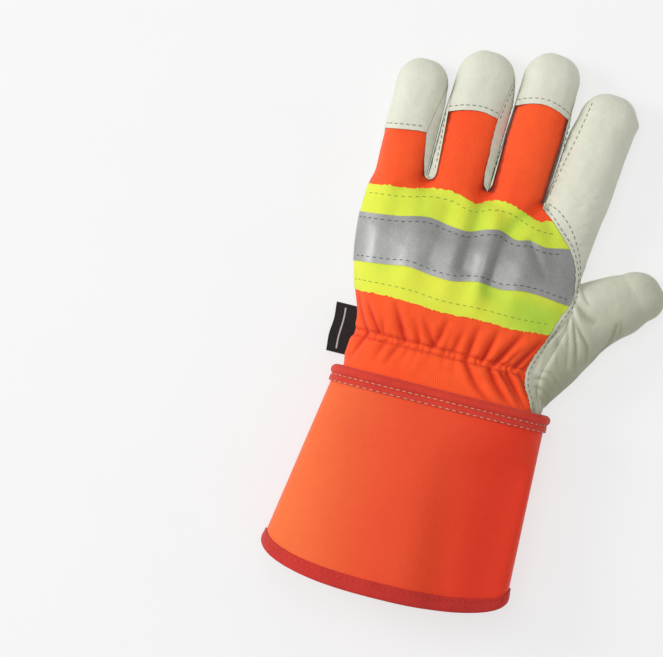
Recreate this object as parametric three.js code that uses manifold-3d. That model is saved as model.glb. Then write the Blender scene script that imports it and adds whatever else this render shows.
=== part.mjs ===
// A left-hand rigger glove lying palm down: leather palm, index finger, thumb and fingertips,
// a gathered cloth back with a hi-vis tape and a reflective strip, and a flared gauntlet cuff.
// Units are millimetres, +Z is up out of the back of the hand, +Y runs from the cuff to the
// fingertips, and the origin is under the middle of the glove on the surface that it lies on.

import * as THREE from 'three';
import Module from 'manifold-3d';

const wasm = await Module();
wasm.setup();

// Hand
const palmLength = 112; // cuff seam to the crotches of the fingers
const palmHeight = 40; // over the middle of the hand, as filled by its lining
const knuckleHeight = 29; // over the roots of the fingers
const waistHeight = 34; // at the elastic
const handTuck = 9; // how far the hand goes down inside the cuff
const handWall = 2.4; // leather or cloth with its lining
const sideSeamHeight = 11; // of the seam between back and palm, above the surface

// Fingers: width at the root, length past the crotches, lean of the axis towards the thumb
const littleFinger = { width: 29.6, length: 66, lean: 0.4 };
const ringFinger = { width: 34.2, length: 78.5, lean: 1.8 };
const middleFinger = { width: 32.6, length: 86, lean: 3.3 };
const indexFinger = { width: 34, length: 72, lean: 6.6 };
const fingerGap = 0.9; // between two fingers at their roots
const fingerRootHeight = 29;
const fingerTipHeight = 22;

// Thumb, from a root inside the palm
const thumbLength = 87.5;
const thumbWidth = 37.8;
const thumbAngle = 42.6; // degrees from straight across
const thumbHeight = 27;

// Fingertip leathers, measured back from each tip
const littleCapLength = 41;
const ringCapLength = 36;
const middleCapLength = 32;

// Gathers that the elastic pulls into the cloth
const elasticHeight = 22; // above the cuff seam
const gatherCount = 11;
const gatherDepth = 3;
const gatherReachUp = 24;
const gatherReachDown = 18;
const ridgeHeight = 2.4; // of the highest ridge over the bones of the hand

// Tapes on the back
const tapeWidth = 63;
const tapeBottom = 45; // above the cuff seam
const stripWidth = 29;
const stripBottom = 63;
const tapeWall = 1;
const stripWall = 1;

// Gauntlet cuff
const cuffLength = 115;
const cuffTopWidth = 118.8;
const cuffTopHeight = 43;
const cuffMouthWidth = 138;
const cuffMouthHeight = 60;
const cuffTopShift = 0.5; // of the top's middle towards the thumb
const cuffMouthShift = -6.3; // of the mouth's middle, towards the little finger
const cuffWall = 2;
const mouthBow = 15; // how far the hem's middle dips past its sides

// Bindings, patch and label
const bindingWall = 1.2;
const topBindingWidth = 8; // below the cuff seam
const topBindingRise = 2.7; // above the cuff seam
const hemBindingWidth = 9;
const patchWall = 1.5;
const patchDepth = 36; // below the cuff seam
const patchRise = 4.5; // above it
const patchWidth = 96;
const patchMargin = 2; // round the patch, where the cuff still lies as high as over it
const labelLength = 28;
const labelReach = 11; // how far it stands out of the seam
const labelWall = 0.8;
const labelMiddle = 22; // of its length, above the cuff seam

const seamGap = 0.3; // between pieces that meet
const fingerSides = 14;
const topSteps = gatherCount * 2; // across the back, two to a gather
const undersideSteps = 10;
const farAway = 200; // well past the glove, for the regions that cut it
const crotchLap = 5; // of a finger's cloth and leather into the palm

const fingers = [littleFinger, ringFinger, middleFinger, indexFinger];
const palmWidth = fingers.reduce((sum, finger) => sum + finger.width, 0) - fingerGap;
const palmLeft = -palmWidth * 0.504; // the cuff's middle is about the middle of the fingers
const cuffFloor = 2 * seamGap + bindingWall + patchWall; // of the cuff over the patch
const tuckInset = cuffWall + seamGap; // of the hand inside the cuff
const patchShare = (patchDepth + patchMargin) / cuffLength; // of the cuff that lies on the patch

// Outline of the hand seen from above as shares of the palm's length and width, and its
// height as a share of the named height in the last column.
const handOutline = [
  { up: 0.08, left: 0.064, right: 0.948, top: 1.1, floor: 0.7, of: waistHeight },
  { up: 0.13, left: 0.072, right: 0.945, top: 1.04, floor: 0.3, of: waistHeight },
  { up: 0.2, left: 0.083, right: 0.932, top: 1.0, floor: 0, of: waistHeight },
  { up: 0.25, left: 0.083, right: 0.928, top: 1.03, floor: 0, of: waistHeight },
  { up: 0.31, left: 0.069, right: 0.934, top: 0.94, floor: 0, of: palmHeight },
  { up: 0.4, left: 0.04, right: 0.957, top: 0.99, floor: 0, of: palmHeight },
  { up: 0.51, left: 0.014, right: 0.969, top: 1.0, floor: 0, of: palmHeight },
  { up: 0.62, left: -0.003, right: 0.974, top: 0.97, floor: 0, of: palmHeight },
  { up: 0.72, left: -0.013, right: 0.975, top: 0.92, floor: 0, of: palmHeight },
  { up: 0.81, left: -0.017, right: 0.979, top: 1.12, floor: 0, of: knuckleHeight },
  { up: 0.89, left: -0.015, right: 0.986, top: 1.02, floor: 0, of: knuckleHeight },
  { up: 0.96, left: -0.011, right: 0.986, top: 0.9, floor: 0, of: knuckleHeight },
  { up: 1.0, left: 0.02, right: 0.965, top: 0.72, floor: 0, of: knuckleHeight },
];

// Where the cloth back ends against the leather on the thumb side.
const clothEdge = [
  { up: -0.2, across: 0.894 },
  { up: 0.02, across: 0.894 },
  { up: 0.134, across: 0.844 },
  { up: 0.205, across: 0.832 },
  { up: 0.34, across: 0.867 },
  { up: 0.49, across: 0.914 },
  { up: 0.607, across: 0.948 },
  { up: 0.68, across: 0.948 },
  { up: 0.76, across: 0.929 },
  { up: 0.84, across: 0.89 },
  { up: 0.91, across: 0.829 },
  { up: 0.97, across: 0.775 },
];

// Seam round the thumb's root, from the crotch down to the wrist.
const thumbSeam = [
  { up: 0.72, across: 0.972 },
  { up: 0.62, across: 0.959 },
  { up: 0.51, across: 0.962 },
  { up: 0.4, across: 0.948 },
  { up: 0.26, across: 0.905 },
  { up: 0.15, across: 0.897 },
  { up: 0.06, across: 0.922 },
];

// Thumb sections as shares of its length, width and height; side is towards the index finger.
const thumbSections = [
  { out: -0.03, side: -0.38, half: 0.37, height: 0.98 },
  { out: 0.12, side: -0.17, half: 0.487, height: 1.1 },
  { out: 0.24, side: -0.033, half: 0.562, height: 1.15 },
  { out: 0.36, side: 0.066, half: 0.569, height: 1.14 },
  { out: 0.48, side: 0.119, half: 0.542, height: 1.08 },
  { out: 0.6, side: 0.093, half: 0.484, height: 1.02 },
  { out: 0.72, side: 0.069, half: 0.45, height: 0.96 },
  { out: 0.82, side: 0.066, half: 0.397, height: 0.86 },
];

// Finger sections as shares of its length, half its width and the height of its root.
const fingerSections = [
  { out: -0.34, half: 0.88, height: 0.62 },
  { out: -0.06, half: 0.97, height: 0.95 },
  { out: 0.2, half: 1.0, height: 0.95 },
  { out: 0.45, half: 0.99, height: 0.86 },
  { out: 0.66, half: 0.985, height: 0.8 },
];
const domeAngles = [28, 52, 72]; // round a fingertip, in degrees

// Ridges of the back over the bones of the hand, which the tape and strip follow; the height is
// a share of the highest one's.
const ridges = [
  { across: 0.097, height: 0.33, half: 0.05 },
  { across: 0.247, height: 0.62, half: 0.06 },
  { across: 0.417, height: 0.46, half: 0.05 },
  { across: 0.552, height: 1.0, half: 0.035 },
  { across: 0.707, height: 0.71, half: 0.05 },
];

// Edges of the tape as shares of its width: how far each end lies from straight.
const tapeEdges = [
  { across: -0.12, low: 0, high: -0.07 },
  { across: 0.157, low: 0, high: -0.02 },
  { across: 0.307, low: -0.01, high: 0.03 },
  { across: 0.427, low: -0.02, high: -0.015 },
  { across: 0.537, low: 0, high: 0.045 },
  { across: 0.677, low: -0.01, high: -0.01 },
  { across: 1.1, low: 0, high: -0.03 },
];

// Round lobe at each end of the wrist patch: shares of half its width and of its depth.
const patchLobe = [
  { out: 0.79, down: -0.125 },
  { out: 0.9, down: 0.1 },
  { out: 1.0, down: 0.42 },
  { out: 0.96, down: 0.64 },
  { out: 0.87, down: 0.79 },
  { out: 0.58, down: 0.93 },
  { out: 0.2, down: 1.0 },
];

// A closed solid from points and triangles that share them.
function solidOf(points, triangles) {
  const vertProperties = new Float32Array(points.flatMap((p) => [p.x, p.y, p.z]));
  const triVerts = new Uint32Array(triangles.flat());
  return new wasm.Manifold(new wasm.Mesh({ numProp: 3, vertProperties, triVerts }));
}

// A closed solid lofted through rings, each end closed by a fan to a point.
function loft(rings, startPoint, endPoint) {
  const sides = rings[0].length;
  const start = rings.length * sides;
  const last = start - sides;
  const triangles = [];
  for (let i = 0; i < sides; i++) {
    const next = (i + 1) % sides;
    triangles.push([start, i, next], [start + 1, last + next, last + i]);
    for (let from = 0; from < last; from += sides) {
      triangles.push([from + i, from + i + sides, from + next]);
      triangles.push([from + next, from + i + sides, from + next + sides]);
    }
  }
  return solidOf([...rings.flat(), startPoint, endPoint], triangles);
}

// A closed band: the same outline of points at each step round the cuff.
function band(outlines) {
  const count = outlines[0].length;
  const triangles = [];
  for (let step = 0; step < outlines.length; step++) {
    const here = step * count;
    const there = ((step + 1) % outlines.length) * count;
    for (let i = 0; i < count; i++) {
      const next = (i + 1) % count;
      triangles.push([here + i, there + i, here + next], [here + next, there + i, there + next]);
    }
  }
  return solidOf(outlines.flat(), triangles);
}

// A three.js geometry as a solid, its equal corners made one.
function fromGeometry(geometry) {
  const position = geometry.getAttribute('position');
  const seen = new Map();
  const points = [];
  const corners = [];
  for (let i = 0; i < position.count; i++) {
    const point = new THREE.Vector3().fromBufferAttribute(position, i);
    const key = point.toArray().map((value) => value.toFixed(4)).join();
    if (!seen.has(key)) {
      seen.set(key, points.length);
      points.push(point);
    }
    corners.push(seen.get(key));
  }
  const triangles = [];
  for (let i = 0; i < corners.length; i += 3) triangles.push(corners.slice(i, i + 3));
  return solidOf(points, triangles);
}

// An outline seen from above, pushed out by grow all round and extruded between two heights.
function prism(outline, low, high, grow = 0) {
  const area = outline.reduce((sum, [x, y], i) => {
    const [nextX, nextY] = outline[(i + 1) % outline.length];
    return sum + x * nextY - nextX * y;
  }, 0);
  const grown = outline.map(([x, y], i) => {
    const before = outline[(i + outline.length - 1) % outline.length];
    const after = outline[(i + 1) % outline.length];
    const a = new THREE.Vector2(x - before[0], y - before[1]).normalize();
    const b = new THREE.Vector2(after[0] - x, after[1] - y).normalize();
    const out = new THREE.Vector2(a.y + b.y, -a.x - b.x);
    out.multiplyScalar((Math.sign(area) * grow) / (1 + a.dot(b)));
    return new THREE.Vector2(x + out.x, y + out.y);
  });
  const settings = { depth: high - low + 2 * grow, bevelEnabled: false };
  const geometry = new THREE.ExtrudeGeometry(new THREE.Shape(grown), settings);
  geometry.translate(0, 0, low - grow);
  return fromGeometry(geometry);
}

// The largest body of a cut solid, without the crumbs that thin cuts may leave.
function mainBody(solid) {
  const bodies = solid.decompose();
  return bodies.reduce((most, body) => (body.volume() > most.volume() ? body : most));
}

const evenAngles = (from, to, steps) =>
  Array.from({ length: steps }, (_, i) => from + ((to - from) * i) / steps);
const fingerAngles = evenAngles(0, 2 * Math.PI, fingerSides);
const bodyAngles = [
  ...evenAngles(0, Math.PI, topSteps),
  ...evenAngles(Math.PI, 2 * Math.PI, undersideSteps),
];

const widestShare = 0.42; // of a section's height, where it is widest
const sectionPower = 0.8; // below 1 the section is squarer than an ellipse
const undersideSag = 1.3; // the underside would hang this much lower but for the surface

// One point of a section: wide and soft, and flat where it lies on the surface. A positive
// offset gives a layer outside it, a negative one the hollow inside it.
function sectionPoint(angle, { centre, sideways, half, top, floor, relief }, offset) {
  const soften = (value) => Math.sign(value) * Math.abs(value) ** sectionPower;
  const middle = floor + (top - floor) * widestShare;
  const rise = soften(Math.sin(angle));
  const across = soften(Math.cos(angle));
  const side = across * (half + offset);
  const reach = rise > 0 ? top - middle : (middle - floor) * undersideSag;
  const lift = relief && rise > 0 ? relief(across * half, angle) * rise : 0;
  const z = Math.max(middle + rise * (reach + offset) + lift, floor - offset);
  return new THREE.Vector3(centre.x + sideways.x * side, centre.y + sideways.y * side, z);
}

const sectionRing = (section, offset, angles) =>
  angles.map((angle) => sectionPoint(angle, section, offset));

// The cuff's section at a share of its length, 0 at its seam and 1 at its mouth.
function cuffSection(share, angle) {
  const mix = (a, b) => THREE.MathUtils.lerp(a, b, share);
  const bow = mouthBow * share * Math.abs(share) * Math.abs(Math.sin(angle));
  return {
    centre: {
      x: mix(cuffTopShift, cuffMouthShift),
      y: -share * (cuffLength - mouthBow) - bow,
    },
    sideways: { x: 1, y: 0 },
    half: mix(cuffTopWidth, cuffMouthWidth) / 2,
    top: mix(cuffTopHeight, cuffMouthHeight),
    floor: share < patchShare ? cuffFloor : seamGap + bindingWall,
  };
}

const cuffPoint = (share, offset, angle) => sectionPoint(angle, cuffSection(share, angle), offset);

// A band of the cuff from an outline of length shares and offsets from the cuff's outside.
const cuffBand = (outline) =>
  band(bodyAngles.map((angle) => outline.map(([share, offset]) => cuffPoint(share, offset, angle))));

// Reads a column of a table of the palm at a place between its rows.
function readTable(table, up, column) {
  const after = table.findIndex((row) => row.up >= up);
  const [a, b] = [table[Math.max(after - 1, 0)], table[after]];
  const mix = b.up > a.up ? (up - a.up) / (b.up - a.up) : 0;
  return THREE.MathUtils.lerp(a[column], b[column], mix);
}

// A place on the palm from shares of its width and length.
const onPalm = (across, up) => [palmLeft + across * palmWidth, up * palmLength];

// How far the gathers and the ridges lift the back of the hand at one place.
function backRelief(x, y, angle) {
  const reach = y > elasticHeight ? gatherReachUp : gatherReachDown;
  const near = Math.max(0, 1 - Math.abs(y - elasticHeight) / reach);
  const fold = 0.5 - 0.5 * Math.cos(2 * gatherCount * angle);
  const gather = gatherDepth * near ** 1.3 * fold * (1 - 0.35 * Math.cos(3 * angle));
  const share = y / palmLength;
  const along = THREE.MathUtils.smoothstep(share, 0.38, 0.55) *
    (1 - THREE.MathUtils.smoothstep(share, 0.85, 1.02));
  const across = (x - palmLeft) / palmWidth;
  const lift = ridges.reduce(
    (sum, ridge) => sum + ridge.height * Math.exp(-(((across - ridge.across) / ridge.half) ** 2)), 0);
  return gather + ridgeHeight * lift * along;
}

function palmSection(row) {
  const [left, y] = onPalm(row.left, row.up);
  const [right] = onPalm(row.right, row.up);
  const section = {
    centre: { x: (left + right) / 2, y },
    sideways: { x: 1, y: 0 },
    half: (right - left) / 2,
    top: row.top * row.of,
    floor: row.floor * (cuffFloor + tuckInset),
  };
  section.relief = (side, angle) => backRelief(section.centre.x + side, y, angle);
  return section;
}

// The palm starts inside the cuff, an even inset from it.
function palmBody(offset, endReach = 0) {
  const tuckShares = [-handTuck - endReach, 0, topBindingRise].map((y) => -y / cuffLength);
  const tucked = tuckShares.map((share) => {
    const ring = bodyAngles.map((angle) => cuffPoint(share, offset - tuckInset, angle));
    ring.forEach((point) => { point.y = -share * cuffLength; });
    return ring;
  });
  const rings = handOutline.map((row) => {
    const section = palmSection(row);
    if (offset < 0) section.relief = null;
    return sectionRing(section, offset, bodyAngles);
  });
  const middleOf = (ring) =>
    ring.reduce((sum, p) => sum.add(p), new THREE.Vector3()).divideScalar(ring.length);
  const end = middleOf(rings.at(-1));
  end.y += 1 + offset;
  return loft([...tucked, ...rings], middleOf(tucked[0]), end);
}

// Each finger's root, axis and half width, laid side by side across the palm.
const fingerAxes = fingers.map((finger, i) => {
  const before = fingers.slice(0, i).reduce((sum, other) => sum + other.width, 0);
  const lean = THREE.MathUtils.degToRad(finger.lean);
  return {
    length: finger.length,
    half: (finger.width - fingerGap) / 2,
    root: { x: palmLeft + before + (finger.width - fingerGap) / 2, y: palmLength },
    along: { x: Math.sin(lean), y: Math.cos(lean) },
    sideways: { x: Math.cos(lean), y: -Math.sin(lean) },
  };
});
const [little, ring, middle] = fingerAxes;

// A place beside an axis: out along it, and to the side, both in millimetres.
const besideAxis = ({ root, along, sideways }, out, side) => [
  root.x + along.x * out + sideways.x * side,
  root.y + along.y * out + sideways.y * side,
];

// A place on a finger: out from the crotches, and sideways in shares of half its width.
const onFinger = (finger, out, share) => besideAxis(finger, out, share * finger.half);

// A limb lofted along its axis through its sections, with a domed tip.
function limbBody({ axis, sections, domeLength }, offset) {
  const sectionAt = ({ out, side, half, top, floor }) => {
    const [x, y] = besideAxis(axis, out, side);
    return { centre: { x, y }, sideways: axis.sideways, half, top, floor };
  };
  const last = sections.at(-1);
  const middleHeight = last.top * widestShare;
  const dome = domeAngles.map((degrees) => {
    const angle = THREE.MathUtils.degToRad(degrees);
    const shrink = Math.cos(angle) ** 0.85;
    return {
      out: last.out + (domeLength + offset) * Math.sin(angle),
      side: last.side,
      half: (last.half + offset) * shrink - offset,
      top: middleHeight + (last.top - middleHeight + offset) * shrink - offset,
      floor: (middleHeight + offset) * (1 - shrink),
    };
  });
  const root = { ...sections[0], out: sections[0].out - offset };
  const rings = [root, ...sections.slice(1), ...dome].map((row) =>
    sectionRing(sectionAt(row), offset, fingerAngles));
  const pointAt = (out, side) =>
    new THREE.Vector3(...besideAxis(axis, out, side), middleHeight);
  return loft(rings, pointAt(root.out, root.side),
    pointAt(last.out + domeLength + offset, last.side));
}

function fingerLimb(finger) {
  const domeLength = finger.half;
  const sections = fingerSections.map((row) => ({
    out: row.out * finger.length, side: 0, half: row.half * finger.half,
    top: row.height * fingerRootHeight, floor: 0,
  }));
  sections.push({
    out: finger.length - domeLength, side: 0, half: fingerSections.at(-1).half * finger.half,
    top: fingerTipHeight, floor: 0,
  });
  return { axis: finger, sections, domeLength };
}

// The thumb's axis leaves the palm near its heel.
const thumbTurn = THREE.MathUtils.degToRad(thumbAngle);
const [thumbRootX, thumbRootY] = onPalm(0.815, 0.25);
const thumbLimb = {
  axis: {
    root: { x: thumbRootX, y: thumbRootY },
    along: { x: Math.cos(thumbTurn), y: Math.sin(thumbTurn) },
    sideways: { x: Math.sin(thumbTurn), y: -Math.cos(thumbTurn) },
  },
  sections: thumbSections.map((row) => ({
    out: row.out * thumbLength, side: -row.side * thumbWidth, half: row.half * thumbWidth,
    top: row.height * thumbHeight, floor: 0,
  })),
  domeLength: (1 - thumbSections.at(-1).out) * thumbLength,
};

// The whole hand as one form: the outer skin, a layer over it, or the hollow in it.
function handForm(offset, endReach = 0) {
  const limbs = [...fingerAxes.map(fingerLimb), thumbLimb];
  return limbs.reduce((form, limb) => form.add(limbBody(limb, offset)), palmBody(offset, endReach));
}

const hollow = handForm(-handWall, 1);
const skin = handForm(0).subtract(hollow);

// Regions of the skin: an outline from above, from a height upwards.
const [farLeft] = onPalm(-0.1, 0);
const [farRight] = onPalm(2, 0);
const clothEdgePoints = clothEdge.map((row) => onPalm(row.across, row.up));
const backOutline = [
  [farLeft, -2 * handTuck], ...clothEdgePoints, onFinger(middle, 0.5, 0.98),
  [farLeft, palmLength + 0.5],
];
const fingerPanels = [
  // leather shows beyond left and right on the back; a cap begins where its panel ends
  { name: 'little', finger: little, left: -1.5, right: 0.74, capLength: littleCapLength },
  { name: 'ring', finger: ring, left: -0.93, right: 0.7, capLength: ringCapLength },
  { name: 'middle', finger: middle, left: -0.93, right: 0.92, capLength: middleCapLength },
];
const panelOutline = ({ finger, left, right, capLength }) => [
  onFinger(finger, -crotchLap, left), onFinger(finger, -crotchLap, right),
  onFinger(finger, finger.length - capLength, right),
  onFinger(finger, finger.length - capLength, left),
];
const tipSide = 0.93; // the cap's right edge at the tip, in shares of half the finger's width
const capOutline = ({ finger, left, right, capLength }) => [
  onFinger(finger, finger.length - capLength, left),
  onFinger(finger, finger.length - capLength, right),
  onFinger(finger, finger.length - finger.half, tipSide),
  onFinger(finger, finger.length * 2, tipSide),
  onFinger(finger, finger.length * 2, left),
];
const capRegion = (panel, grow = 0) => prism(capOutline(panel), sideSeamHeight, farAway, grow);
const clothRegion = (grow = 0) => fingerPanels.reduce(
  (sum, panel) => sum.add(prism(panelOutline(panel), sideSeamHeight, farAway, grow)),
  prism(backOutline, sideSeamHeight, farAway, grow));

const thumbSeamPoints = thumbSeam.map((row) => onPalm(row.across, row.up));
const thumbOutline = [...thumbSeamPoints, [farRight, 0], [farRight, palmLength * 1.5]];
const thumbRegion = (grow = 0) => prism(thumbOutline, -1, farAway, grow);

const pairSide = 1.03; // just past the fingers' sides, in shares of half their width
const pairOutline = [
  onFinger(ring, -1.5, -pairSide), onFinger(ring, -3.5, -0.2), onFinger(middle, -1, -1),
  onFinger(middle, -2.5, 0.4), onFinger(middle, -2, pairSide),
  onFinger(middle, farAway, pairSide), onFinger(ring, farAway, -pairSide),
];
const pairRegion = (grow = 0) => prism(pairOutline, -1, farAway, grow);

// The label stands in the side seam under the little finger.
const [seamX] = onPalm(readTable(handOutline, labelMiddle / palmLength, 'left'), 0);
const labelOutline = [
  [seamX - labelReach, labelMiddle - labelLength / 2],
  [seamX + 2 * handWall, labelMiddle - labelLength / 2],
  [seamX + 2 * handWall, labelMiddle + labelLength / 2],
  [seamX - labelReach, labelMiddle + labelLength / 2],
];
const labelRegion = (grow = 0) =>
  prism(labelOutline, sideSeamHeight, sideSeamHeight + labelWall, grow);

// A tape is a thin layer of the back between two offsets, cut to its edges.
function tapeSolid(offset, wall, bottom, width) {
  const edge = (key, y) => tapeEdges.map((row) =>
    [onPalm(row.across, 0)[0], y + row[key] * tapeWidth]);
  const outline = [...edge('low', bottom), ...edge('high', bottom + width).reverse()];
  const clothSide = [
    [farLeft, 0], ...clothEdgePoints.slice(1), [farLeft, palmLength],
  ];
  return handForm(offset + wall).subtract(handForm(offset))
    .intersect(prism(outline, sideSeamHeight + 1, farAway))
    .intersect(prism(clothSide, 0, farAway, -seamGap));
}

// Cuff, with its bindings folded round its edges
const atLength = (length) => length / cuffLength;
const cuffShares = [0, 0.5 * patchShare, 0.99 * patchShare, 1.08 * patchShare, 0.57, 0.8, 1];
const cuffOutline = [
  ...cuffShares.map((share) => [share, 0]),
  ...cuffShares.map((share) => [share, -cuffWall]).reverse(),
];
const bindingOut = seamGap + bindingWall;
const topBindingOutline = [
  [atLength(-topBindingRise), bindingOut],
  [atLength(topBindingWidth), bindingOut],
  [atLength(topBindingWidth), seamGap],
  [atLength(-seamGap), seamGap],
  [atLength(-seamGap), -cuffWall],
  [atLength(-topBindingRise), -cuffWall],
];
const hemBindingOutline = [
  [1 - atLength(hemBindingWidth), bindingOut],
  [1 + atLength(bindingOut), bindingOut],
  [1 + atLength(bindingOut), -cuffWall - bindingOut],
  [1 - atLength(hemBindingWidth), -cuffWall - bindingOut],
  [1 - atLength(hemBindingWidth), -cuffWall - seamGap],
  [1 + atLength(seamGap), -cuffWall - seamGap],
  [1 + atLength(seamGap), seamGap],
  [1 - atLength(hemBindingWidth), seamGap],
];
const patchOffset = bindingOut + seamGap;
const patchEnds = [-patchRise - patchMargin, patchDepth + patchMargin / 2];
const patchStations = [patchEnds[0], patchDepth / 2, patchEnds[1]].map(atLength);
const patchLayer = [
  ...patchStations.map((share) => [share, patchOffset + patchWall]),
  ...patchStations.map((share) => [share, patchOffset]).reverse(),
];
const patchHalf = (turn) => patchLobe.map((row) =>
  [cuffTopShift + (turn * row.out * patchWidth) / 2, -row.down * patchDepth]);
const patchOutline = [...patchHalf(1), ...patchHalf(-1).reverse()];

const leather = { color: 0xd5d8c8, roughness: 0.72 };
const wornLeather = { color: 0xcfd2c0, roughness: 0.75 };
const cloth = { color: 0xf4592a, roughness: 0.85 };
const finishes = {
  palm_leather: leather,
  finger_front_pair: wornLeather,
  thumb_leather: leather,
  wrist_patch: leather,
  back_fabric: cloth,
  gauntlet_cuff: { color: 0xf06038, roughness: 0.85 },
  cuff_top_binding: { color: 0xb03630, roughness: 0.8 },
  cuff_hem_binding: { color: 0xc23e34, roughness: 0.8 },
  hi_vis_tape: { color: 0xd4e23e, roughness: 0.7 },
  reflective_strip: { color: 0xa6a8a4, roughness: 0.4, metalness: 0.3 },
  side_label: { color: 0x1a1a1a, roughness: 0.6 },
};

const clothCut = clothRegion(seamGap);
const capsCut = fingerPanels.reduce((sum, panel) => {
  const region = capRegion(panel, seamGap);
  return sum ? sum.add(region) : region;
}, null);
const solids = {
  palm_leather: skin.subtract(clothCut).subtract(capsCut).subtract(thumbRegion(seamGap))
    .subtract(pairRegion(seamGap)).subtract(labelRegion(seamGap)),
  finger_front_pair: skin.intersect(pairRegion()).subtract(clothCut).subtract(capsCut),
  thumb_leather: skin.intersect(thumbRegion()).subtract(clothCut),
  back_fabric: skin.intersect(clothRegion()).subtract(capsCut).subtract(labelRegion(seamGap)),
  hi_vis_tape: tapeSolid(seamGap, tapeWall, tapeBottom, tapeWidth),
  reflective_strip: tapeSolid(2 * seamGap + tapeWall, stripWall, stripBottom, stripWidth),
  gauntlet_cuff: cuffBand(cuffOutline),
  cuff_top_binding: cuffBand(topBindingOutline),
  cuff_hem_binding: cuffBand(hemBindingOutline),
  wrist_patch: cuffBand(patchLayer).intersect(prism(patchOutline, -1, sideSeamHeight)),
  side_label: labelRegion().subtract(hollow),
};
for (const panel of fingerPanels) {
  const name = `fingertip_cap_${panel.name}`;
  solids[name] = skin.intersect(capRegion(panel));
  finishes[name] = leather;
}

const glove = new THREE.Group();
for (const [name, solid] of Object.entries(solids)) {
  const { vertProperties, triVerts } = mainBody(solid).getMesh();
  const geometry = new THREE.BufferGeometry();
  geometry.setAttribute('position', new THREE.BufferAttribute(vertProperties, 3));
  geometry.setIndex(new THREE.BufferAttribute(triVerts, 1));
  geometry.computeVertexNormals();
  const mesh = new THREE.Mesh(geometry, new THREE.MeshStandardMaterial(finishes[name]));
  mesh.name = name;
  glove.add(mesh);
}

// The origin goes under the middle of the whole glove.
const box = new THREE.Box3().setFromObject(glove);
const middleOfBox = box.getCenter(new THREE.Vector3());
glove.position.set(-middleOfBox.x, -middleOfBox.y, -box.min.z);

const group = new THREE.Group();
group.add(glove);

export default group;
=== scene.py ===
import math
import random
import time

import bmesh
import bpy
import numpy as np
from mathutils import Matrix, Vector, noise
from mathutils.bvhtree import BVHTree


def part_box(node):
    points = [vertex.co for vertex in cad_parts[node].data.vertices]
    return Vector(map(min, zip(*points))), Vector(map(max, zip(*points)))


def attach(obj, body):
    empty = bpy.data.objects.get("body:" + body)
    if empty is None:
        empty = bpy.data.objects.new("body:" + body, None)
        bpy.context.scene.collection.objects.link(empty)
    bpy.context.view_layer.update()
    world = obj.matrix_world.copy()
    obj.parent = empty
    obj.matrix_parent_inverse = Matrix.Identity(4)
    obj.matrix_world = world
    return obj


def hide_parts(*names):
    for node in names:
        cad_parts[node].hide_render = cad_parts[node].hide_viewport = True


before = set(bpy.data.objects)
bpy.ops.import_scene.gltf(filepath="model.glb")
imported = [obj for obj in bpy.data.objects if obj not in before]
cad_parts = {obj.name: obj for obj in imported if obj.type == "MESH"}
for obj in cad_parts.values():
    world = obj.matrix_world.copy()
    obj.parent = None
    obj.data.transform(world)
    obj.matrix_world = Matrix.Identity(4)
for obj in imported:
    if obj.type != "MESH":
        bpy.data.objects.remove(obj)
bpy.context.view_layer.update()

# A left-hand rigger glove lying palm down. Lengths are millimetres while a piece is made: u runs
# across to the thumb, v from the cuff's seam to the fingertips and z up. toFrame puts it in place.

startTime = time.time()
random.seed(7)

cuff = {
    "length": 115, "topWidth": 118.8, "topHeight": 43, "mouthWidth": 138, "mouthHeight": 60,
    "topShift": 0.5, "mouthShift": -6.3, "bow": 15, "wall": 2, "floor": 1.5, "patchFloor": 3.3,
    "patchEnd": 0.33, "waves": 0.9, "lean": 9, "around": 260,
}
hand = {
    "palmLength": 112, "palmHeight": 40, "knuckleHeight": 29, "waistHeight": 34, "palmWidth": 129.5,
    "leftShare": 0.504, "tuck": 9, "tuckInset": 2.3, "voxel": 0.85, "innerVoxel": 2.0, "shrink": 0.8,
    "wall": 2.2, "sideSeam": 11,
}
fingers = {  # width at the root, length past the crotches, lean towards the thumb in degrees
    "little": {"width": 29.6, "length": 66, "lean": 0.4},
    "ring": {"width": 34.2, "length": 78.5, "lean": 1.8},
    "middle": {"width": 32.6, "length": 86, "lean": 3.3},
    "index": {"width": 34, "length": 72, "lean": 6.6},
}
fingerForm = {"gap": 0.9, "rootHeight": 29, "tipHeight": 22}
thumb = {"length": 87.0, "width": 37.8, "angle": 42.6, "height": 27, "rootAcross": 0.815, "rootUp": 0.25}

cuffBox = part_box("gauntlet_cuff")
frameShift = Vector((
    (cuffBox[0][0] + cuffBox[1][0]) / 2 - cuff["mouthShift"] / 1000, cuffBox[1][1], 0))
toFrame = Matrix.Translation(frameShift) @ Matrix.Scale(0.001, 4)
palmLeft = -hand["palmWidth"] * hand["leftShare"]


# Curves and paths

def smoothTable(xs, ys, at):  # a cubic through the rows, with the slopes of their neighbours
    xs, ys, at = np.array(xs, float), np.array(ys, float), np.asarray(at, float)
    slopes = np.gradient(ys, xs)
    i = np.clip(np.searchsorted(xs, at) - 1, 0, len(xs) - 2)
    step = xs[i + 1] - xs[i]
    t = np.clip((at - xs[i]) / step, 0, 1)
    return ((1 + 2 * t) * (1 - t) ** 2 * ys[i] + t * (1 - t) ** 2 * step * slopes[i]
            + t * t * (3 - 2 * t) * ys[i + 1] + t * t * (t - 1) * step * slopes[i + 1])


def between(a, b, share):
    return a + (b - a) * share


def smoothStep(low, high, value):
    t = np.clip((np.asarray(value, float) - low) / (high - low), 0, 1)
    return t * t * (3 - 2 * t)


def bell(distance, width):
    return np.exp(-(distance / width) ** 2)


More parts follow.
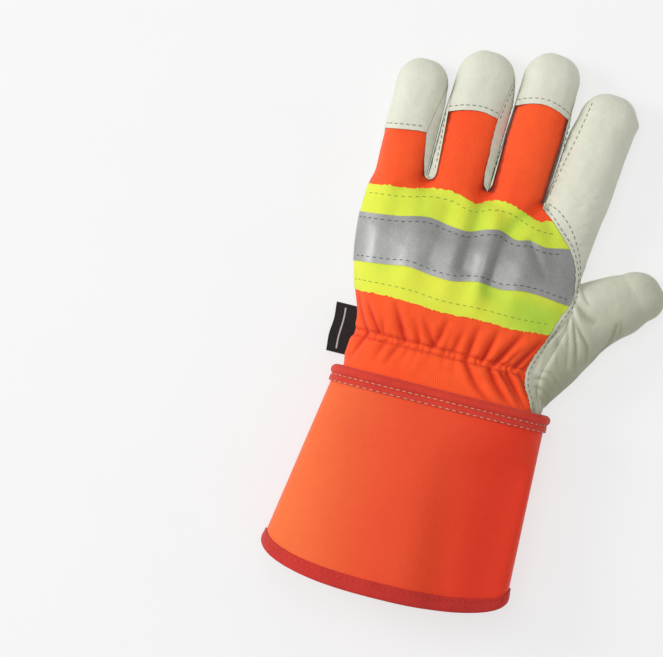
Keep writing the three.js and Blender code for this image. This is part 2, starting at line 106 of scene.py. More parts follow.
def smoothPath(points, step=1.5, fray=0.0):  # a soft line through the points, evenly stepped
    pts = np.array(points, float)
    along = np.concatenate([[0], np.cumsum(np.linalg.norm(np.diff(pts, axis=0), axis=1))])
    at = np.linspace(0, along[-1], max(2, round(along[-1] / step) + 1))
    path = np.stack([smoothTable(along, pts[:, k], at) for k in range(pts.shape[1])], axis=1)
    if fray:
        across = np.gradient(path, axis=0)
        across = np.stack([-across[:, 1], across[:, 0]], axis=1)
        across /= np.linalg.norm(across, axis=1)[:, None]
        jag = np.array([random.uniform(-1, 1) for _ in path])
        path[1:-1] += across[1:-1] * jag[1:-1, None] * fray
    return path


def awayFrom(points, path):  # distance of each (u, v) from a path, and its share along the path
    path = np.array(path, float)
    best = np.full(len(points), 1e9)
    share = np.zeros(len(points))
    for i in range(len(path) - 1):
        a, d = path[i], path[i + 1] - path[i]
        t = np.clip(((points - a) @ d) / (d @ d), 0, 1)
        gap = np.linalg.norm(points - a - t[:, None] * d, axis=1)
        near = gap < best
        best[near] = gap[near]
        share[near] = (i + t[near]) / (len(path) - 1)
    return best, share


def eachDent(flat, dents, step):  # distance from and share along each path, its width and depth
    for path, width, depth in dents:
        gap, share = awayFrom(flat, smoothPath(path, step))
        yield gap, share, width, depth


# Sections of the soft forms: rings of points, bridged into closed bodies

sectionMiddle = 0.42  # height of a section's widest line, as a share of its height
sectionPower = 0.8  # below 1 makes the section squarer


def sectionRing(row, angles, offset=0.0):
    rise = np.sign(np.sin(angles)) * np.abs(np.sin(angles)) ** sectionPower
    across = np.sign(np.cos(angles)) * np.abs(np.cos(angles)) ** sectionPower
    middle = row["floor"] + (row["top"] - row["floor"]) * sectionMiddle
    side = across * (row["half"] + offset)
    reach = np.where(rise > 0, row["top"] - middle, (middle - row["floor"]) * 1.3)
    z = np.maximum(middle + rise * (reach + offset), row["floor"] - offset)
    sx, sy = row.get("sideways", (1, 0))
    return np.stack([row["x"] + sx * side, row["y"] + sy * side, z], axis=1)


def loftRings(bm, rings, closed=False):
    loops = []
    for ring in rings:
        made = bmesh.ops.create_circle(bm, segments=len(ring), radius=1)["verts"]
        edges = list({e for v in made for e in v.link_edges})
        for vert, point in zip(made, ring):
            vert.co = point
        loops.append(edges)
    pairs = list(zip(loops, loops[1:]))
    if closed:
        pairs.append((loops[-1], loops[0]))
    for a, b in pairs:
        bmesh.ops.bridge_loops(bm, edges=a + b)
    if not closed:
        bmesh.ops.edgeloop_fill(bm, edges=loops[0])
        bmesh.ops.edgeloop_fill(bm, edges=loops[-1])


def meshOf(bm, name):
    bmesh.ops.recalc_face_normals(bm, faces=bm.faces)
    mesh = bpy.data.meshes.new(name)
    bm.to_mesh(mesh)
    bm.free()
    return mesh


def cuffRow(share):
    lift = float(smoothStep(cuff["patchEnd"] - 0.03, cuff["patchEnd"] + 0.05, share))
    return {
        "x": between(cuff["topShift"], cuff["mouthShift"], share), "y": 0,
        "half": between(cuff["topWidth"], cuff["mouthWidth"], share) / 2,
        "top": between(cuff["topHeight"], cuff["mouthHeight"], share),
        "floor": between(cuff["patchFloor"], cuff["floor"], lift),
    }


def cuffRing(share, offset, angles):
    ring = sectionRing(cuffRow(share), angles, offset)
    bow = cuff["bow"] * share * abs(share) * np.abs(np.sin(angles))
    ring[:, 1] = -share * (cuff["length"] - cuff["bow"]) - bow
    top = smoothStep(0.1, 0.8, np.sin(angles)) * smoothStep(0.02, 0.35, share)
    u = ring[:, 0]
    wave = 0.9 * np.sin(u * 0.062 + 0.6 + share) + 0.5 * np.sin(u * 0.118 + 2.1 - 1.5 * share)
    wave -= 2.4 * bell(u - 10 - 14 * share, 10) * smoothStep(0.2, 0.9, share)
    lean = cuff["lean"] * smoothStep(-35, 62, u) ** 1.2 * smoothStep(0, 0.4, share)
    ring[:, 2] += (cuff["waves"] * wave - lean) * top
    return ring


def fullTurn(count):
    return np.linspace(0, 2 * math.pi, count, endpoint=False)


# The bare hand: palm, fingers and thumb, remeshed into one skin

def onPalm(across, up):
    return palmLeft + across * hand["palmWidth"], up * hand["palmLength"]


palmRows = [  # up, left, right as shares of the palm; top and floor as shares; which height
    (0.08, 0.064, 0.948, 1.1, 0.7, "waistHeight"),
    (0.13, 0.072, 0.945, 1.04, 0.3, "waistHeight"),
    (0.2, 0.083, 0.932, 1.0, 0, "waistHeight"),
    (0.25, 0.083, 0.928, 1.03, 0, "waistHeight"),
    (0.31, 0.069, 0.934, 0.94, 0, "palmHeight"),
    (0.4, 0.04, 0.957, 0.99, 0, "palmHeight"),
    (0.51, 0.014, 0.969, 1.0, 0, "palmHeight"),
    (0.62, -0.003, 0.974, 0.97, 0, "palmHeight"),
    (0.72, -0.013, 0.975, 0.92, 0, "palmHeight"),
    (0.81, -0.017, 0.979, 1.12, 0, "knuckleHeight"),
    (0.89, -0.015, 0.986, 1.02, 0, "knuckleHeight"),
    (0.96, -0.011, 0.986, 0.9, 0, "knuckleHeight"),
    (1.0, 0.02, 0.965, 0.72, 0, "knuckleHeight"),
]
fingerRows = [  # out, half width, height, as shares
    (-0.34, 0.88, 0.62), (-0.06, 0.97, 0.95), (0.2, 1.0, 0.95), (0.45, 0.99, 0.86), (0.66, 0.985, 0.8),
]
thumbRows = [  # out, side, half width, height, as shares
    (-0.03, -0.38, 0.37, 0.98), (0.12, -0.17, 0.487, 1.1), (0.24, -0.033, 0.562, 1.15),
    (0.36, 0.066, 0.569, 1.14), (0.48, 0.118, 0.541, 1.08), (0.6, 0.09, 0.482, 1.02),
    (0.72, 0.056, 0.454, 0.96), (0.82, 0.036, 0.388, 0.86),
]


def palmForm(bm):
    rows = []
    for v in (-16, -9, 0, 3):
        row = cuffRow(-v / cuff["length"])
        inset = hand["tuckInset"]
        rows.append((v, row["x"] - row["half"] + inset, row["x"] + row["half"] - inset,
                     row["top"] - inset, cuff["patchFloor"] + inset))
    for up, left, right, top, floor, kind in palmRows:
        rows.append((up * hand["palmLength"], onPalm(left, 0)[0], onPalm(right, 0)[0],
                     top * hand[kind], floor * (cuff["patchFloor"] + hand["tuckInset"])))
    table = np.array(rows, float)
    stations = np.linspace(table[0, 0], table[-1, 0], 52)
    left, right, top, floor = (smoothTable(table[:, 0], table[:, k], stations) for k in (1, 2, 3, 4))
    rings = [sectionRing({"x": (a + b) / 2, "y": v, "half": (b - a) / 2, "top": t, "floor": max(f, 0)},
                         fullTurn(120), -hand["shrink"])
             for v, a, b, t, f in zip(stations, left, right, top, floor)]
    loftRings(bm, rings)


def limbForm(bm, root, turn, rows, domeLength, blunt=0.85, drift=0.0):
    along = (math.cos(turn), math.sin(turn))
    sideways = (math.sin(turn), -math.cos(turn))
    table = np.array(rows, float)
    shrink = hand["shrink"]
    stations = np.linspace(table[0, 0], table[-1, 0], 30)
    out = [tuple(smoothTable(table[:, 0], table[:, k], s) for k in range(5)) for s in stations]
    last = table[-1]
    middle = last[3] * sectionMiddle
    for degrees in range(9, 86, 7):
        a = math.radians(degrees)
        small = math.cos(a) ** blunt
        out.append((last[0] + (domeLength - shrink) * math.sin(a), last[1] + drift * math.sin(a),
                    (last[2] - shrink) * small + shrink,
                    middle + (last[3] - middle - shrink) * small + shrink,
                    (middle - shrink) * (1 - small)))
    rings = []
    for s, side, half, top, floor in out:
        x = root[0] + along[0] * s + sideways[0] * side
        y = root[1] + along[1] * s + sideways[1] * side
        rings.append(sectionRing({"x": x, "y": y, "half": half, "top": top, "floor": floor,
                                  "sideways": sideways}, fullTurn(72), -shrink))
    loftRings(bm, rings)


def fingerForms(bm):
    left = palmLeft
    for size in fingers.values():
        half = (size["width"] - fingerForm["gap"]) / 2
        rows = [(out * size["length"], 0, share * half, height * fingerForm["rootHeight"], 0)
                for out, share, height in fingerRows]
        rows.append((size["length"] - half, 0, 0.985 * half, fingerForm["tipHeight"], 0))
        root = (left + half, hand["palmLength"])
        turn = math.pi / 2 - math.radians(size["lean"])
        limbForm(bm, root, turn, rows, half)
        left += size["width"]


def thumbForm(bm):
    rows = [(out * thumb["length"], -side * thumb["width"], half * thumb["width"],
             height * thumb["height"], 0) for out, side, half, height in thumbRows]
    limbForm(bm, onPalm(thumb["rootAcross"], thumb["rootUp"]), math.radians(thumb["angle"]), rows,
             (1 - thumbRows[-1][0]) * thumb["length"], blunt=0.78, drift=1.9)


def withModifier(mesh, kind, **settings):  # the mesh after one modifier
    holder = bpy.data.objects.new("holder", mesh)
    bpy.context.scene.collection.objects.link(holder)
    modifier = holder.modifiers.new("shape", kind)
    for key, value in settings.items():
        setattr(modifier, key, value)
    depsgraph = bpy.context.evaluated_depsgraph_get()
    shaped = bpy.data.meshes.new_from_object(holder.evaluated_get(depsgraph), depsgraph=depsgraph)
    bpy.data.objects.remove(holder)
    return shaped


def cut(mesh, tool, operation):
    toolObject = bpy.data.objects.new("tool", tool)
    bpy.context.scene.collection.objects.link(toolObject)
    done = withModifier(mesh, "BOOLEAN", object=toolObject, operation=operation, solver="MANIFOLD")
    bpy.data.objects.remove(toolObject)
    return done


def readPoints(mesh):
    points = np.empty(len(mesh.vertices) * 3)
    mesh.vertices.foreach_get("co", points)
    return points.reshape(-1, 3)


def writePoints(mesh, points):
    mesh.vertices.foreach_set("co", np.asarray(points).ravel())
    mesh.update()


def readNormals(mesh):
    normals = np.empty(len(mesh.vertices) * 3)
    mesh.vertex_normals.foreach_get("vector", normals)
    return normals.reshape(-1, 3)


def relax(points, edges, weight, rounds, keepSize=True):  # smooths a mesh without shrinking it
    a, b = edges[:, 0], edges[:, 1]
    count = np.bincount(a, minlength=len(points)) + np.bincount(b, minlength=len(points))
    for turn in range(rounds):
        total = np.empty_like(points)
        for k in range(3):
            total[:, k] = (np.bincount(a, points[b, k], len(points))
                           + np.bincount(b, points[a, k], len(points)))
        factor = -0.53 if keepSize and turn % 2 else 0.5
        points = points + factor * weight[:, None] * (total / count[:, None] - points)
    return points


bm = bmesh.new()
palmForm(bm)
fingerForms(bm)
thumbForm(bm)
bareMesh = withModifier(meshOf(bm, "bareHand"), "REMESH", mode="VOXEL", voxel_size=hand["voxel"])
barePoints = readPoints(bareMesh)
edges = np.empty(len(bareMesh.edges) * 2, int)
bareMesh.edges.foreach_get("vertices", edges)
edges = edges.reshape(-1, 2)
barePoints = relax(barePoints, edges, np.ones(len(barePoints)), 14)
rootBand = bell(barePoints[:, 1] - 107, 9) * smoothStep(12, 19, barePoints[:, 2])
barePoints = relax(barePoints, edges, rootBand, 50, keepSize=False)
sideBand = bell(barePoints[:, 1] - 108, 11) * smoothStep(-50, -60, barePoints[:, 0])
barePoints = relax(barePoints, edges, sideBand * smoothStep(1, 5, barePoints[:, 2]), 60, keepSize=False)
thumbSpot = bell(np.hypot(barePoints[:, 0] - 56, barePoints[:, 1] - 42), 26)
barePoints = relax(barePoints, edges, thumbSpot * smoothStep(8, 16, barePoints[:, 2]), 40, keepSize=False)
writePoints(bareMesh, barePoints)
bareNormals = readNormals(bareMesh)
print("hand skin:", len(barePoints), "points,", round(time.time() - startTime, 1), "s")


# Lines on the hand, in (u, v)

clothEdge = [  # raw edge of the leather on the thumb side, from the wrist to the middle finger
    (50.5, -12), (50.5, 2), (48, 8), (44, 15), (42.5, 23), (44, 30), (47, 38), (50, 45), (53, 55),
    (56, 62), (58, 68), (57.5, 75), (55, 85), (50, 94), (42, 102), (35, 108.5), (30, 112.5),
]
middleRight = [(30, 112.5), (30.6, 120), (31.6, 135), (32.2, 150), (32.2, 163.5)]
middleLeft = [(2, 165), (1, 150), (0.7, 135), (0.3, 121)]
ringRight = [(-5.2, 121), (-5.6, 126), (-5.5, 133), (-6, 142), (-5.7, 154.5)]
ringLeft = [(-33, 152), (-32.3, 140), (-31.6, 127), (-31.2, 117.5)]
littleRight = [(-38.2, 117), (-40.1, 125), (-42, 137.5)]
capEdges = {
    "little": [(-70, 135), (-64, 135), (-55, 136.2), (-45, 137.5), (-42, 137.6)],
    "ring": [(-33, 152), (-25, 154.6), (-15, 156), (-6, 154.5)],
    "middle": [(2, 164), (10, 167), (18, 168), (25, 166.5), (32.2, 163.5)],
}
capSides = {  # left and right seams of each fingertip leather, from its edge to past the tip
    "little": ([(-70, 180), (-70, 135)], [(-42, 137.6), (-40, 150), (-37.4, 163), (-36.6, 168), (-36, 184)]),
    "ring": ([(-33, 194), (-33.6, 176), (-33.3, 164), (-33, 152)],
             [(-6, 154.5), (-3.9, 168), (-1.4, 180), (0, 194)]),
    "middle": ([(4, 202), (3.4, 190), (2.4, 176), (2, 164)],
               [(32.2, 163.5), (33.4, 175), (34.3, 184), (35, 202)]),
}
thumbSeam = [
    (61.5, 84), (59.8, 76), (59.3, 69), (59, 60), (58, 50), (55.5, 40), (52.2, 29), (50.6, 20),
    (51.6, 12), (55, 5), (57, -1), (58, -12),
]
pairSeam = [  # set-in seam at the root of the middle and ring fingers
    (-36.2, 112), (-31, 112.5), (-27.5, 109.5), (-20, 109), (-12, 111), (-5, 112), (2, 112.5),
    (10, 112), (20, 110.5), (27, 108.6), (30.6, 112),
]


# How far the cloth and the leather stand off the bare skin

def ripple(points, size, seed):
    at = Vector((seed, seed * 1.7, 0))
    return np.array([noise.noise(Vector(p) / size + at) for p in points])


gather = {"row": 22.2, "folds": 9.2, "depth": 1.1, "reachUp": 25, "reachDown": 19, "rows": (24.2, 20.4)}
gatherCreases = [  # from the elastic outwards: path, half width, depth
    ([(-47, 24), (-54, 36), (-58, 46)], 1.5, 1.6), ([(-40.5, 24.5), (-46, 32), (-52, 41)], 1.5, 2.0),
    ([(-38, 24), (-41, 33)], 1.3, 1.4), ([(-26, 24), (-31, 33), (-37, 44)], 1.8, 2.2),
    ([(-18, 24.5), (-21, 31), (-25, 38)], 1.5, 1.0), ([(-10.4, 25), (-14, 31), (-19.6, 38)], 1.6, 1.5),
    ([(-9.3, 25), (-7.5, 33), (-5.5, 41.5)], 1.6, 1.6), ([(1, 24), (2.5, 31), (4, 37)], 1.5, 1.0),
    ([(8.8, 22.6), (10, 32), (11.9, 41.7)], 1.7, 1.8), ([(17.8, 24), (20, 33), (22.7, 42)], 1.6, 2.0),
    ([(24.4, 23), (30, 33), (36.4, 43.6)], 1.8, 2.6), ([(30.5, 24), (34, 30), (38, 36)], 1.4, 1.3),
    ([(36.2, 24.5), (42, 34), (48.8, 44)], 1.7, 2.5), ([(40.5, 24), (43.5, 29), (46.5, 33)], 1.3, 1.6),
    ([(-46.6, 23), (-50, 15), (-53.7, 6)], 1.6, 1.8), ([(-36, 21), (-38, 15), (-40, 9)], 1.5, 0.9),
    ([(-27, 22), (-31, 15), (-34, 8)], 1.5, 1.2), ([(9, 20.5), (15, 12.5), (30.7, -1)], 1.6, 1.6),
    ([(22.7, 19.5), (29.5, 11), (42, 0)], 1.7, 2.3), ([(28, 20), (36, 12), (46, 1)], 1.4, 1.6),
    ([(32.5, 19.5), (38, 13), (49, 1)], 1.5, 2.2), ([(38.7, 21), (43.4, 15.4), (47, 9)], 1.3, 1.6),
]
ridges = [  # where the back lifts over the bones: share across, height, half width
    (0.097, 0.8, 0.06), (0.247, 1.7, 0.05), (0.417, 1.4, 0.045), (0.552, 2.5, 0.036), (0.707, 1.6, 0.05),
]
clothDents = [  # path, half width, depth
    ([(-36, 112), (-35, 104), (-34, 94)], 4.0, 1.7),
    ([(-20, 100), (-21, 86), (-23, 70)], 3.8, 1.1),
    ([(-2.5, 115), (-3, 106), (-4, 92), (-5, 70)], 4.4, 2.1),
    ([(29, 112), (24, 107), (18, 101), (13.5, 92), (11.5, 76), (10, 62)], 3.4, 2.2),
    ([(28, 92), (32, 86), (39, 77)], 3.2, 1.7),
    ([(38, 104), (40, 92), (44, 78)], 4.5, 0.9),
    ([(16, 60), (32, 54), (45, 50)], 6.0, 1.4),
    ([(-48, 104), (-49, 84), (-47, 62)], 4.5, 1.0),
]


def crease(gap, share, width, depth):  # a sharp valley with a soft ridge on both sides
    fade = (1 - share) ** 0.6
    valley = bell(gap, width)
    sides = bell(gap - 2.3 * width, 1.3 * width)
    return 1.15 * depth * fade * (0.45 * sides - valley)


def gathersAt(points):
    flat = points[:, :2]
    u, v = flat.T
    away = v - gather["row"]
    fan = np.where(away > 0, 1 + away * 0.0145, 1 - away * np.where(u > 0, 0.024, 0.0105))
    across = u / fan
    across = across + 9 * np.sign(across) * np.abs(np.clip(across, -60, 60) / 56) ** 5
    t = across / gather["folds"] + 0.45 * np.sin(across * 0.105 + 1.3) + 0.22 * np.sin(across * 0.31)
    fold = np.abs(np.sin(math.pi * t)) ** 0.7
    gap = np.abs(away)
    reach = np.where(away > 0, gather["reachUp"], gather["reachDown"]) * (0.8 + 0.25 * np.sin(t * 2.4))
    near = np.clip(1 - gap / reach, 0, 1) ** 1.25 * smoothStep(-1.5, 4.5, gap)
    lift = gather["depth"] * near * (fold + 0.5)
    for dent in eachDent(flat, gatherCreases, 3):
        lift = lift + crease(*dent)
    pucker = np.abs(np.sin(math.pi * (across / 4.6 + 0.3 * np.sin(across * 0.4)))) ** 0.8
    band = bell(away, 3.0)
    side = 0.6 + 0.4 * smoothStep(-40, 30, u)
    lift = lift * (1 - 0.7 * band) + (1.5 * pucker - 0.9) * side * band
    for row in gather["rows"]:
        lift = lift - 0.6 * bell(v - row, 1.0)
    return lift


def clothLift(points, normals):
    u, v, z = points.T
    back = smoothStep(-0.15, 0.35, normals[:, 2]) * smoothStep(8, 13, z)
    along = smoothStep(40, 60, v) * (1 - smoothStep(96, 114, v))
    across = (u - palmLeft) / hand["palmWidth"]
    lift = gathersAt(points)
    for middle, height, half in ridges:
        lift = lift + height * along * bell(across - middle, half)
    for gap, share, width, depth in eachDent(points[:, :2], clothDents, 4):
        lift = lift - depth * bell(gap, width) * (1 - 0.4 * share)
    lift = lift + 0.5 * ripple(points, 16, 3.1) + 0.15 * ripple(points, 6, 1.4)
    sewn = smoothStep(0, 4, awayFrom(points[:, :2], clothEdge)[0])  # lies flat at the leather
    tuck = smoothStep(-1, 8, v)
    return np.maximum(lift, -2.4) * back * (0.35 + 0.65 * sewn) * tuck


leatherDents = [  # path, half width, depth: creases of the leather seen from the back
    ([(60.5, 77), (63, 72), (68, 66.5)], 1.5, 1.4),
    ([(59, 68.5), (61, 66), (65.5, 63)], 1.4, 1.5),
    ([(59.5, 61), (62, 57), (66, 51.6), (72, 44), (73.3, 35)], 1.6, 2.0),
    ([(60, 61), (61.4, 56), (65.9, 43), (68.8, 29)], 1.5, 2.2),
    ([(57.5, 60), (59.4, 50), (62, 40), (64, 28)], 1.4, 1.5),
    ([(55.5, 53), (52, 46), (49, 39)], 1.2, 1.0),
    ([(57.5, 55.3), (54, 48), (50.6, 42.8), (48.4, 36)], 1.2, 1.3),
    ([(55, 46), (57, 38), (58.5, 30)], 1.5, 1.0),
    ([(48, 21), (53.7, 21.5), (58.6, 17.8), (60, 14)], 1.3, 1.7),
    ([(50, 16.5), (55, 15.5), (57.1, 13.6), (57.7, 7.9)], 1.3, 1.7),
    ([(52, 26), (57, 25.5), (61, 21.2), (63.1, 14.3)], 1.3, 1.4),
    ([(52.5, 12), (55, 10), (56, 6)], 1.2, 1.1),
    ([(85, 60), (84.1, 51.9), (80.4, 43.5), (76, 37)], 1.8, 1.9),
    ([(87, 62), (88, 57), (87, 52.5)], 2.4, 0.8),
    ([(48, 118), (53, 120.5), (58, 119.4), (62, 121)], 1.2, 0.35),
    ([(50, 124.5), (54, 124), (60, 126.5)], 1.2, 0.3),
    ([(45, 113), (49, 114.5), (55, 113)], 1.2, 0.3),
    ([(52, 107), (56, 109.5), (61, 106.6)], 1.3, 0.35),
    ([(54, 97), (57, 99.5), (61, 97.6)], 1.3, 0.3),
    ([(60, 66), (66, 61), (74, 58)], 5.0, 1.6),
    ([(56, 44), (60, 34), (63, 24)], 5.0, 1.2),
]
leatherBumps = [((71, 169.5), 3.4, 1.5)]  # the stiff end of the index finger's side seam
palmDents = [  # creases of the palm side
    ([(58, 40), (48, 55), (30, 66), (8, 72), (-20, 78)], 5, 1.2),
    ([(45, 70), (30, 84), (8, 92), (-30, 98)], 5, 1.0),
    ([(50, 30), (34, 22), (14, 18), (-10, 20)], 5, 1.0),
    ([(-50, 60), (-30, 54), (-10, 44), (10, 36)], 6, 0.9),
    ([(-58, 90), (-50, 84), (-44, 72)], 4, 0.8),
    ([(47, 79), (45, 72), (50, 63), (57, 56)], 2.5, 1.2),
]


def leatherLift(points, normals):
    u, v, z = points.T
    flat = points[:, :2]
    back = smoothStep(0.05, 0.45, normals[:, 2])
    front = smoothStep(0.3, 0.8, -normals[:, 2])
    lift = 0.35 * ripple(points, 11, 8.3) + 0.14 * ripple(points, 4, 5.9)
    for gap, share, width, depth in eachDent(flat, leatherDents, 2.5):
        fade = np.sin(math.pi * np.clip(0.12 + 0.88 * share, 0, 1)) ** 0.5
        lift = lift - back * fade * 0.42 * depth * bell(gap, 0.62 * width)
        lift = lift + back * fade * 0.08 * depth * bell(gap - 2 * width, 1.3 * width)
    for gap, share, width, depth in eachDent(flat, palmDents, 4):
        lift = lift - front * depth * bell(gap, width) * np.sin(math.pi * (0.08 + 0.84 * share))
    for middle, width, height in leatherBumps:
        gap = np.linalg.norm(flat - np.array(middle), axis=1)
        lift = lift + height * bell(gap, width)
    for seam, depth in ((thumbSeam, 0.9), (pairSeam, 0.9)):
        side = front if seam is pairSeam else 1
        lift = lift - depth * side * bell(awayFrom(flat, seam)[0], 1.5)
    edge = np.minimum(awayFrom(flat, clothEdge)[0], awayFrom(flat, middleRight)[0])
    raised = 0.45 * bell(edge, 2.8)
    for path in capEdges.values():
        raised = raised + 0.3 * bell(awayFrom(flat, path)[0], 3.2)
    lift = np.maximum(lift, -2.6) + raised * smoothStep(9, 13, z)
    outside = smoothStep(0.25, 0.7, -normals[:, 0]) * smoothStep(2, 8, z) * smoothStep(-44, -52, u)
    outside = outside * (1 - smoothStep(128, 138, v))  # stays under the cloth at the side seam
    return lift * (1 - outside) - 1.1 * outside


fingerWalls = [  # line between two fingers, where its walls meet, how far the left and right close in
    ([(-36.3, 108), (-36.15, 112), (-35.4, 170)], 0.35, 0.9, 0.6),
    ([(-2.2, 108), (-2.0, 112), (2.2, 180)], 0.35, 0.9, 0.6),
    ([(30.6, 108), (30.9, 113), (34.0, 150), (36, 172)], -0.2, 0.5, 1.0),
]


def acrossWall(u, v, path, middle):  # signed distance from the line between two fingers
    path = np.array(path, float)
    return u - np.interp(v, path[:, 1], path[:, 0]) - middle


def closeWalls(points):  # side walls between the fingers swell until they nearly touch
    u, v, z = points.T
    moved = points.copy()
    for path, middle, leftShare, rightShare in fingerWalls:
        away = acrossWall(u, v, path, middle)
        end = path[-1][1]
        near = smoothStep(7.5, 1.0, np.abs(away)) * smoothStep(104, 116, v)
        near = near * (1 - smoothStep(end - 16, end - 2, v))
        share = np.where(away < 0, leftShare, rightShare) * near * smoothStep(5, 11, z)
        moved[:, 0] -= np.sign(away) * share * np.clip(np.abs(away) - 0.12, 0, 2.2)
        rise = 3.0 * near * smoothStep(10, 17, z) * np.clip(1 - np.abs(away) / 5.5, 0, 1)
        rise = rise * (1 + 0.5 * bell(v - 117, 4))
        wrinkle = np.sin(v * 1.05 + 1.3 * np.sin(v * 0.23) + u * 0.5)
        moved[:, 2] += rise * (1 + 0.06 * wrinkle) + 0.38 * wrinkle * near * smoothStep(14, 18, z)
    return moved


def closeCrotches(points):  # the webs between the fingers reach up to where their seams end
    u, v, z = points.T
    moved = points.copy()
    for path, middle, _, _ in fingerWalls:
        away = acrossWall(u, v, path, middle)
        web = np.exp(-((v - 113) / 3) ** 2 - (away / 2.8) ** 2) * smoothStep(6, 12, z)
        moved[:, 1] += 2.6 * web
        moved[:, 2] += 1.2 * web
    return moved


def placeholders(mesh, index):
    mesh.materials.clear()
    for _ in range(3):
        mesh.materials.append(None)
    mesh.polygons.foreach_set("material_index", [index] * len(mesh.polygons))


def layerBody(name, points, index=0):  # a closed body on the bare skin's faces
    mesh = bareMesh.copy()
    mesh.name = name
    writePoints(mesh, points)
    placeholders(mesh, index)
    return mesh


def paintedShade(points, normals, kind):  # 0 to 1 of painted shade: darker in creases, between the fingers and where a surface turns from the key light
    flat = points[:, :2]
    if kind == "cuff":  # painted shading: light orange on the little finger's side, which faces the key light, deepening towards the thumb; the underside gets a fixed painted shade
        u = flat[:, 0]
        share = 0.72 * smoothStep(-76, -8, u) + 0.28 * smoothStep(-5, 45, u)
        top = smoothStep(-0.1, 0.3, normals[:, 2])
        return 0.75 + (share - 0.75) * top
    back = smoothStep(-0.1, 0.3, normals[:, 2])
    shade = np.zeros(len(points))
    if kind == "leather":
        # painted shade in the leather's creases
        for gap, share, width, depth in eachDent(flat, leatherDents, 2.5):
            fade = np.sin(math.pi * np.clip(0.12 + 0.88 * share, 0, 1)) ** 0.5
            shade = np.maximum(shade, 0.36 * min(depth, 1.6) * fade * bell(gap, 0.45 * width))
        # painted shade: the thumb darker towards its lower side, turned from the key light, and darker
        # towards the wrist, as is the leather strip beside it
        away = (flat[:, 0] - 60) * 0.677 - (flat[:, 1] - 50) * 0.736
        onThumb = smoothStep(0, 4, awayFrom(flat, thumbSeam)[0]) * (flat[:, 0] > 50) * (flat[:, 1] < 96)
        onThumb = onThumb * (flat[:, 0] + 0.4 * (92 - flat[:, 1]) > 66)
        shade = shade + onThumb * (0.26 + 0.42 * smoothStep(-22, 20, away))
        shade = shade + 0.34 * onThumb * smoothStep(58, 14, flat[:, 1])
        shade = shade + 0.44 * smoothStep(64, 50, flat[:, 1]) * smoothStep(42, 47, flat[:, 0]) * (1 - onThumb)
        # painted shade down the lines where the fingers meet
        for path, middle, _, _ in fingerWalls:
            shade = shade + 0.22 * bell(awayFrom(flat, path)[0], 3.5)
    elif kind == "cloth":
        # painted shade in the gathers' creases and along the elastic's stitch rows
        for gap, share, width, depth in eachDent(flat, gatherCreases, 3):
            shade = np.maximum(shade, 0.6 * depth * (1 - share) ** 0.6 * bell(gap, 0.7 * width))
        for row in gather["rows"]:
            shade = np.maximum(shade, 0.5 * bell(flat[:, 1] - row, 0.9))
    else:
        # painted shade: the tape greener and the strip darker in the back's hollows, and more towards the
        # thumb side and on the lower tape, which turn from the key light
        for gap, share, width, depth in eachDent(flat, clothDents, 4):
            shade = shade + 0.2 * depth * bell(gap, 1.6 * width)
        shade = shade + smoothStep(8, 44, flat[:, 0]) * (0.1 + 0.34 * smoothStep(66, 57, flat[:, 1]))
    return np.clip(shade * back, 0, 1)


clothRise = clothLift(barePoints, bareNormals)
leatherRise = leatherLift(barePoints, bareNormals)
clothPoints = closeCrotches(barePoints + bareNormals * clothRise[:, None])
leatherPoints = closeWalls(closeCrotches(barePoints + bareNormals * (hand["shrink"] + leatherRise)[:, None]))
leatherPoints[:, 2] = np.maximum(leatherPoints[:, 2], 0)
sunk = np.minimum(np.minimum(clothRise, leatherRise), 0)
innerPoints = barePoints + bareNormals * (hand["shrink"] - hand["wall"] + sunk)[:, None]
clothBody = layerBody("clothBody", clothPoints)
leatherBody = layerBody("leatherBody", leatherPoints)
innerBody = withModifier(layerBody("innerBody", innerPoints), "REMESH", mode="VOXEL",
                         voxel_size=hand["innerVoxel"])
placeholders(innerBody, 1)
clothNormals = readNormals(clothBody)
clothShell = cut(clothBody, innerBody, "DIFFERENCE")
leatherShell = cut(leatherBody, innerBody, "DIFFERENCE")
print("shells:", len(clothShell.polygons), "and", len(leatherShell.polygons), "faces,",
      round(time.time() - startTime, 1), "s")


# Regions that cut the shells into their pieces

def prism(outline, low, high):
    bm = bmesh.new()
    face = bm.faces.new([bm.verts.new((p[0], p[1], low)) for p in outline])
    side = bmesh.ops.extrude_face_region(bm, geom=[face])
    bmesh.ops.translate(bm, verts=[g for g in side["geom"] if isinstance(g, bmesh.types.BMVert)],
                        vec=(0, 0, high - low))
    mesh = meshOf(bm, "region")
    placeholders(mesh, 2)
    return mesh


def grown(outline, distance):  # the outline pushed out all round
    pts = np.array(outline)
    before, after = pts - np.roll(pts, 1, axis=0), np.roll(pts, -1, axis=0) - pts
    before /= np.linalg.norm(before, axis=1)[:, None] + 1e-9
    after /= np.linalg.norm(after, axis=1)[:, None] + 1e-9
    area = np.sum(pts[:, 0] * np.roll(pts[:, 1], -1) - np.roll(pts[:, 0], -1) * pts[:, 1])
    out = np.stack([before[:, 1] + after[:, 1], -before[:, 0] - after[:, 0]], axis=1) * np.sign(area)
    out /= np.linalg.norm(out, axis=1)[:, None] + 1e-9
    return pts + out * distance


def joined(*paths):
    points = [tuple(p) for path in paths for p in path]
    kept = [points[0]]
    for p in points[1:]:
        if math.dist(p, kept[-1]) > 0.05:
            kept.append(p)
    return kept


